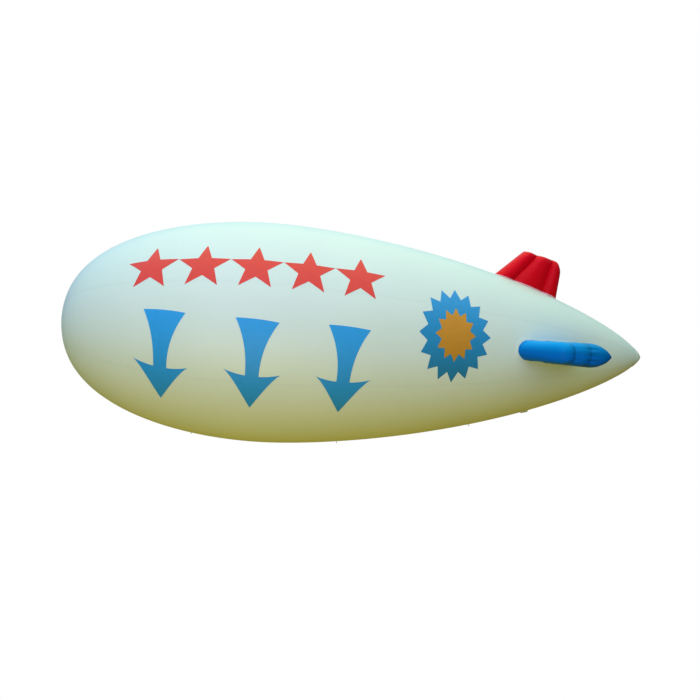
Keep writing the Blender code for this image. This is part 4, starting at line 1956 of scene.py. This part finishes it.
    def ring(self) -> bpy.types.Object:
        """The D-ring: a straight bar on the pivot, round corners and a half-round bow.

        Returns:
            The piece.
        """
        half = 0.5 * self.inside_width + self.wire
        drop = self.inside_height + 2.0 * self.wire
        corner = self.ring_corner
        bow = -np.linspace(0.0, np.pi, self.bow_points)
        bow_line = np.stack([half * np.cos(bow), half - drop + half * np.sin(bow)], axis=-1)
        turn = np.linspace(0.5 * np.pi, 0.0, self.corner_points)[:-1]
        corner_x = half - corner + corner * np.cos(turn)
        right = np.stack([corner_x, -corner + corner * np.sin(turn)], axis=-1)
        left = right[::-1] * np.array([-1.0, 1.0])
        bar = np.linspace(-(half - corner), half - corner, self.bar_points)[1:-1]
        bar_line = np.stack([bar, np.zeros_like(bar)], axis=-1)
        flat = np.concatenate([bar_line, right, bow_line, left])
        path = np.stack([np.zeros(len(flat)), flat[:, 0], flat[:, 1]], axis=-1)
        path = path + np.array(self.pivot)
        across = np.array([1.0, 0.0, 0.0])
        item = swept_tube(f"ring_wire_{self.place}", path, across, self.wire, self.wire_sides)
        self.paint.put(item, STEEL)
        return place_piece(item, f"ring_{self.place}", (f"d_ring_{self.place}",))

    def build(self) -> None:
        """Build the mooring point."""
        self.keeper()
        self.stitches()
        self.ring()


@dataclass
class FillingValve:
    """The moulded valve and its lid, kept from the frame, with rims and grip ribs added."""

    skin: Skin
    paint: Paint
    nodes: dict[str, bpy.types.Object]
    hinge: Vector
    hinge_offset: float = 0.040
    boss_height: float = 0.016
    lid_radius: float = 0.032
    lid_thickness: float = 0.006
    flange_radius: float = 0.046
    around: int = 224
    ribs: int = 28
    rib_depth: float = 0.0007
    plain_near_hinge: tuple[float, float] = (0.6, 0.9)
    grip_inset: float = 0.0002
    grip_depth: float = 0.0014
    grip_crown: float = 0.0003
    grip_share: float = 0.42
    bead_points: int = 17
    bead_radii: tuple[float, float] = (0.0022, 0.0016)
    bead_offset: tuple[float, float] = (0.0026, 0.0024)

    @property
    def turns(self) -> np.ndarray:
        """Directions round the valve's axis, as a row."""
        return directions(self.around)[None, :]

    def axes(self) -> np.ndarray:
        """Rows: tailward along the skin, across, and away from the skin.

        Returns:
            The three unit vectors.
        """
        station = np.asarray(self.hinge.x + self.skin.nose_to_origin)
        along, away = (float(part) for part in self.skin.lean(station))
        return np.array([[away, 0.0, along], [0.0, 1.0, 0.0], [along, 0.0, -away]])

    def turned(
        self, name: str, profile: np.ndarray, height: float, wave: np.ndarray | float
    ) -> bpy.types.Object:
        """A ring turned about the valve's axis, its radius waved round it.

        Args:
            name: the piece's name.
            profile: closed (radius, height) points.
            height: of the profile's zero over the hinge.
            wave: added radius, for each point of the profile and each direction.

        Returns:
            The piece.
        """
        radius = profile[:, 0, None] + wave
        x = self.hinge_offset + radius * np.cos(self.turns)
        y = radius * np.sin(self.turns)
        local = np.stack(np.broadcast_arrays(x, y, profile[:, 1, None] + height), axis=-1)
        points = np.array(self.hinge) + local @ self.axes()
        return build_mesh(name, points, quad_indices(len(profile), self.around, True))

    def lid_grip(self) -> bpy.types.Object:
        """A ribbed band round the lid, plain near the hinge.

        Returns:
            The piece.
        """
        hinge_side = smooth_step(*self.plain_near_hinge, -np.cos(self.turns))
        wave = self.rib_depth * np.cos(self.ribs * self.turns) * (1.0 - hinge_side)
        half = self.grip_share * self.lid_thickness
        inner = self.lid_radius + self.grip_inset
        outer = self.lid_radius + self.grip_depth
        crown = (outer + self.grip_crown, 0.0)
        profile = np.array([(inner, -half), (outer, -half), crown, (outer, half), (inner, half)])
        profile = np.concatenate([profile, profile[:1]])
        outside = profile[:, :1] > inner + MERGE
        item = self.turned("lid_grip_band", profile, 0.0, wave * outside)
        self.paint.put(item, LID)
        return place_piece(item, "valve_lid")

    def flange_rim(self) -> bpy.types.Object:
        """An oval bead welded along the flange's edge.

        Returns:
            The piece.
        """
        turn = np.linspace(0.0, 2.0 * np.pi, self.bead_points)
        reach = self.flange_radius + self.bead_offset[0]
        wide, high = self.bead_radii
        profile = np.stack([reach + wide * np.cos(turn), high * np.sin(turn)], axis=-1)
        drop = -(self.boss_height + 0.5 * self.lid_thickness) + self.bead_offset[1]
        item = self.turned("valve_flange_bead", profile[::-1], drop, 0.0)
        self.paint.put(item, VALVE)
        return place_piece(item, ROOT)

    def build(self) -> None:
        """Dress the valve."""
        self.paint.put(self.nodes["valve_body"], VALVE)
        self.paint.put(self.nodes["valve_lid"], LID)
        self.lid_grip()
        self.flange_rim()


@dataclass(frozen=True)
class SoftLight:
    """A large square light aimed at the balloon's middle."""

    name: str
    place: tuple[float, float, float]
    power: float
    colour: Colour


@dataclass
class Studio:
    """Camera, sky and soft light.

    The sky's stops run from straight down at 0 to straight up at 1, and those of the ends,
    which dim it, from the nose's side at 0 to the tail's at 1.
    """

    camera_at: tuple[float, float, float] = (-0.057, -5.551, 0.0)
    yaw: float = math.radians(4.11)
    pitch: float = math.radians(-1.24)
    roll: float = math.radians(3.75)
    focal_pixels: float = 530.2
    frame_pixels: float = 700.0
    sensor_width: float = 36.0
    sight: float = 500.0
    daylight: float = 2.0
    light_size: float = 5.0
    sky: Stops = (
        (0.00, (0.17, 0.14, 0.02)),
        (0.44, (0.17, 0.14, 0.02)),
        (0.54, (0.05, 0.09, 0.19)),
        (0.75, (0.25, 0.42, 0.52)),
        (1.00, (1.00, 1.00, 0.62)),
    )
    ends: Stops = (
        (0.00, (0.49, 0.66, 1.02)),
        (0.40, WHITE),
        (0.60, WHITE),
        (1.00, (0.20, 0.20, 0.20)),
    )
    lights: tuple[SoftLight, ...] = (
        SoftLight("front", (-1.5, -7.0, 0.5), 93.0, (0.34, 0.47, 1.00)),
        SoftLight("above", (-1.0, -6.5, 4.0), 74.0, (0.56, 0.22, 1.00)),
        SoftLight("bounce", (-1.0, -6.5, -2.5), 112.0, (1.00, 0.86, 0.13)),
    )

    def camera(self) -> None:
        """Place the camera where the photograph's was."""
        data = bpy.data.cameras.new("camera")
        data.sensor_width = self.sensor_width
        data.lens = self.focal_pixels / self.frame_pixels * data.sensor_width
        data.clip_end = self.sight
        item = bpy.data.objects.new("camera", data)
        bpy.context.scene.collection.objects.link(item)
        right = Vector((math.cos(self.yaw), -math.sin(self.yaw), 0.0))
        ahead = Vector((math.sin(self.yaw), math.cos(self.yaw), 0.0))
        forward = ahead * math.cos(self.pitch) + Vector((0.0, 0.0, math.sin(self.pitch)))
        up = right.cross(forward)
        across = right * math.cos(self.roll) + up * math.sin(self.roll)
        upright = up * math.cos(self.roll) - right * math.sin(self.roll)
        turn = Matrix((across, upright, -forward)).transposed()
        item.matrix_world = Matrix.Translation(self.camera_at) @ turn.to_4x4()
        bpy.context.scene.camera = item

    def world(self) -> None:
        """Sky above, lawn below, dimmer towards both ends, and a white backdrop."""
        world = bpy.data.worlds.new("studio")
        bpy.context.scene.world = world
        world.use_nodes = True
        world.node_tree.nodes.clear()
        graph = Graph(world.node_tree)
        way = graph.add("ShaderNodeTexCoord").outputs["Generated"]
        split = graph.add("ShaderNodeSeparateXYZ", {0: way}).outputs
        height = graph.ramp(graph.scaled(split["Z"], 0.5, 0.5), self.sky)
        ends = graph.ramp(graph.scaled(split["X"], 0.5, 0.5), self.ends)
        colour = graph.multiplied(1.0, height, ends)
        light = graph.add("ShaderNodeBackground", {"Color": colour, "Strength": self.daylight})
        backdrop = graph.add("ShaderNodeBackground", {"Color": (*WHITE, 1.0)})
        seen = graph.add("ShaderNodeLightPath").outputs["Is Camera Ray"]
        shaders = {0: seen, 1: light.outputs[0], 2: backdrop.outputs[0]}
        mix = graph.add("ShaderNodeMixShader", shaders)
        graph.add("ShaderNodeOutputWorld", {0: mix.outputs[0]})

    def softbox(self, light: SoftLight) -> None:
        """Hang one soft light.

        Args:
            light: its place, power and colour.
        """
        data = bpy.data.lights.new(light.name, "AREA")
        data.size = self.light_size
        data.energy = light.power
        data.color = light.colour
        item = bpy.data.objects.new(light.name, data)
        item.location = light.place
        item.rotation_euler = (-Vector(light.place)).to_track_quat("-Z", "Y").to_euler()
        item.visible_camera = False
        bpy.context.scene.collection.objects.link(item)

    def build(self) -> None:
        """Set up the studio."""
        self.camera()
        self.world()
        for light in self.lights:
            self.softbox(light)
        bpy.context.scene.view_settings.view_transform = "Standard"


def corners(box: tuple[Vector, Vector]) -> list[list[float]]:
    """A box's two corners as plain lists of numbers."""
    return [[float(part) for part in corner] for corner in box]


def build_belly(frame: dict, skin: Skin, paint: Paint) -> None:
    """Build the fittings on the belly, each at its joint.

    Args:
        frame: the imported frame.
        skin: the envelope's surface.
        paint: the finishes.
    """
    for joint in frame["joints"]:
        pivot = Vector(joint["pos_m"])
        if joint["name"].startswith("ring_swing_"):
            place = joint["name"].removeprefix("ring_swing_")
            mooring = Mooring(skin, paint, place, pivot)
            node = f"mooring_patch_{place}"
            LoadPatch(skin, paint, node, mooring.station, MOORING_PATCH_RADIUS).build()
            mooring.build()
        else:
            valve = FillingValve(skin, paint, frame["nodes"], pivot)
            middle = pivot.x + skin.nose_to_origin + valve.hinge_offset
            radius = VALVE_PATCH_RADIUS
            LoadPatch(skin, paint, "valve_patch", middle, radius, VALVE_PATCH_LAYERS).build()
            valve.build()


def main() -> None:
    """Load the frame, build the balloon's pieces in order and dress them."""
    logging.basicConfig(level=logging.INFO, format="%(name)s: %(message)s")
    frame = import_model()
    skin = Skin()
    paint = Paint()
    Studio().build()
    Envelope(skin, paint).build()
    for plan in (TOP_FIN, NEAR_FIN, FAR_FIN):
        Fin(skin, paint, plan).build()
    Print(skin, paint).build()
    build_belly(frame, skin, paint)


if __name__ == "__main__":
    main()
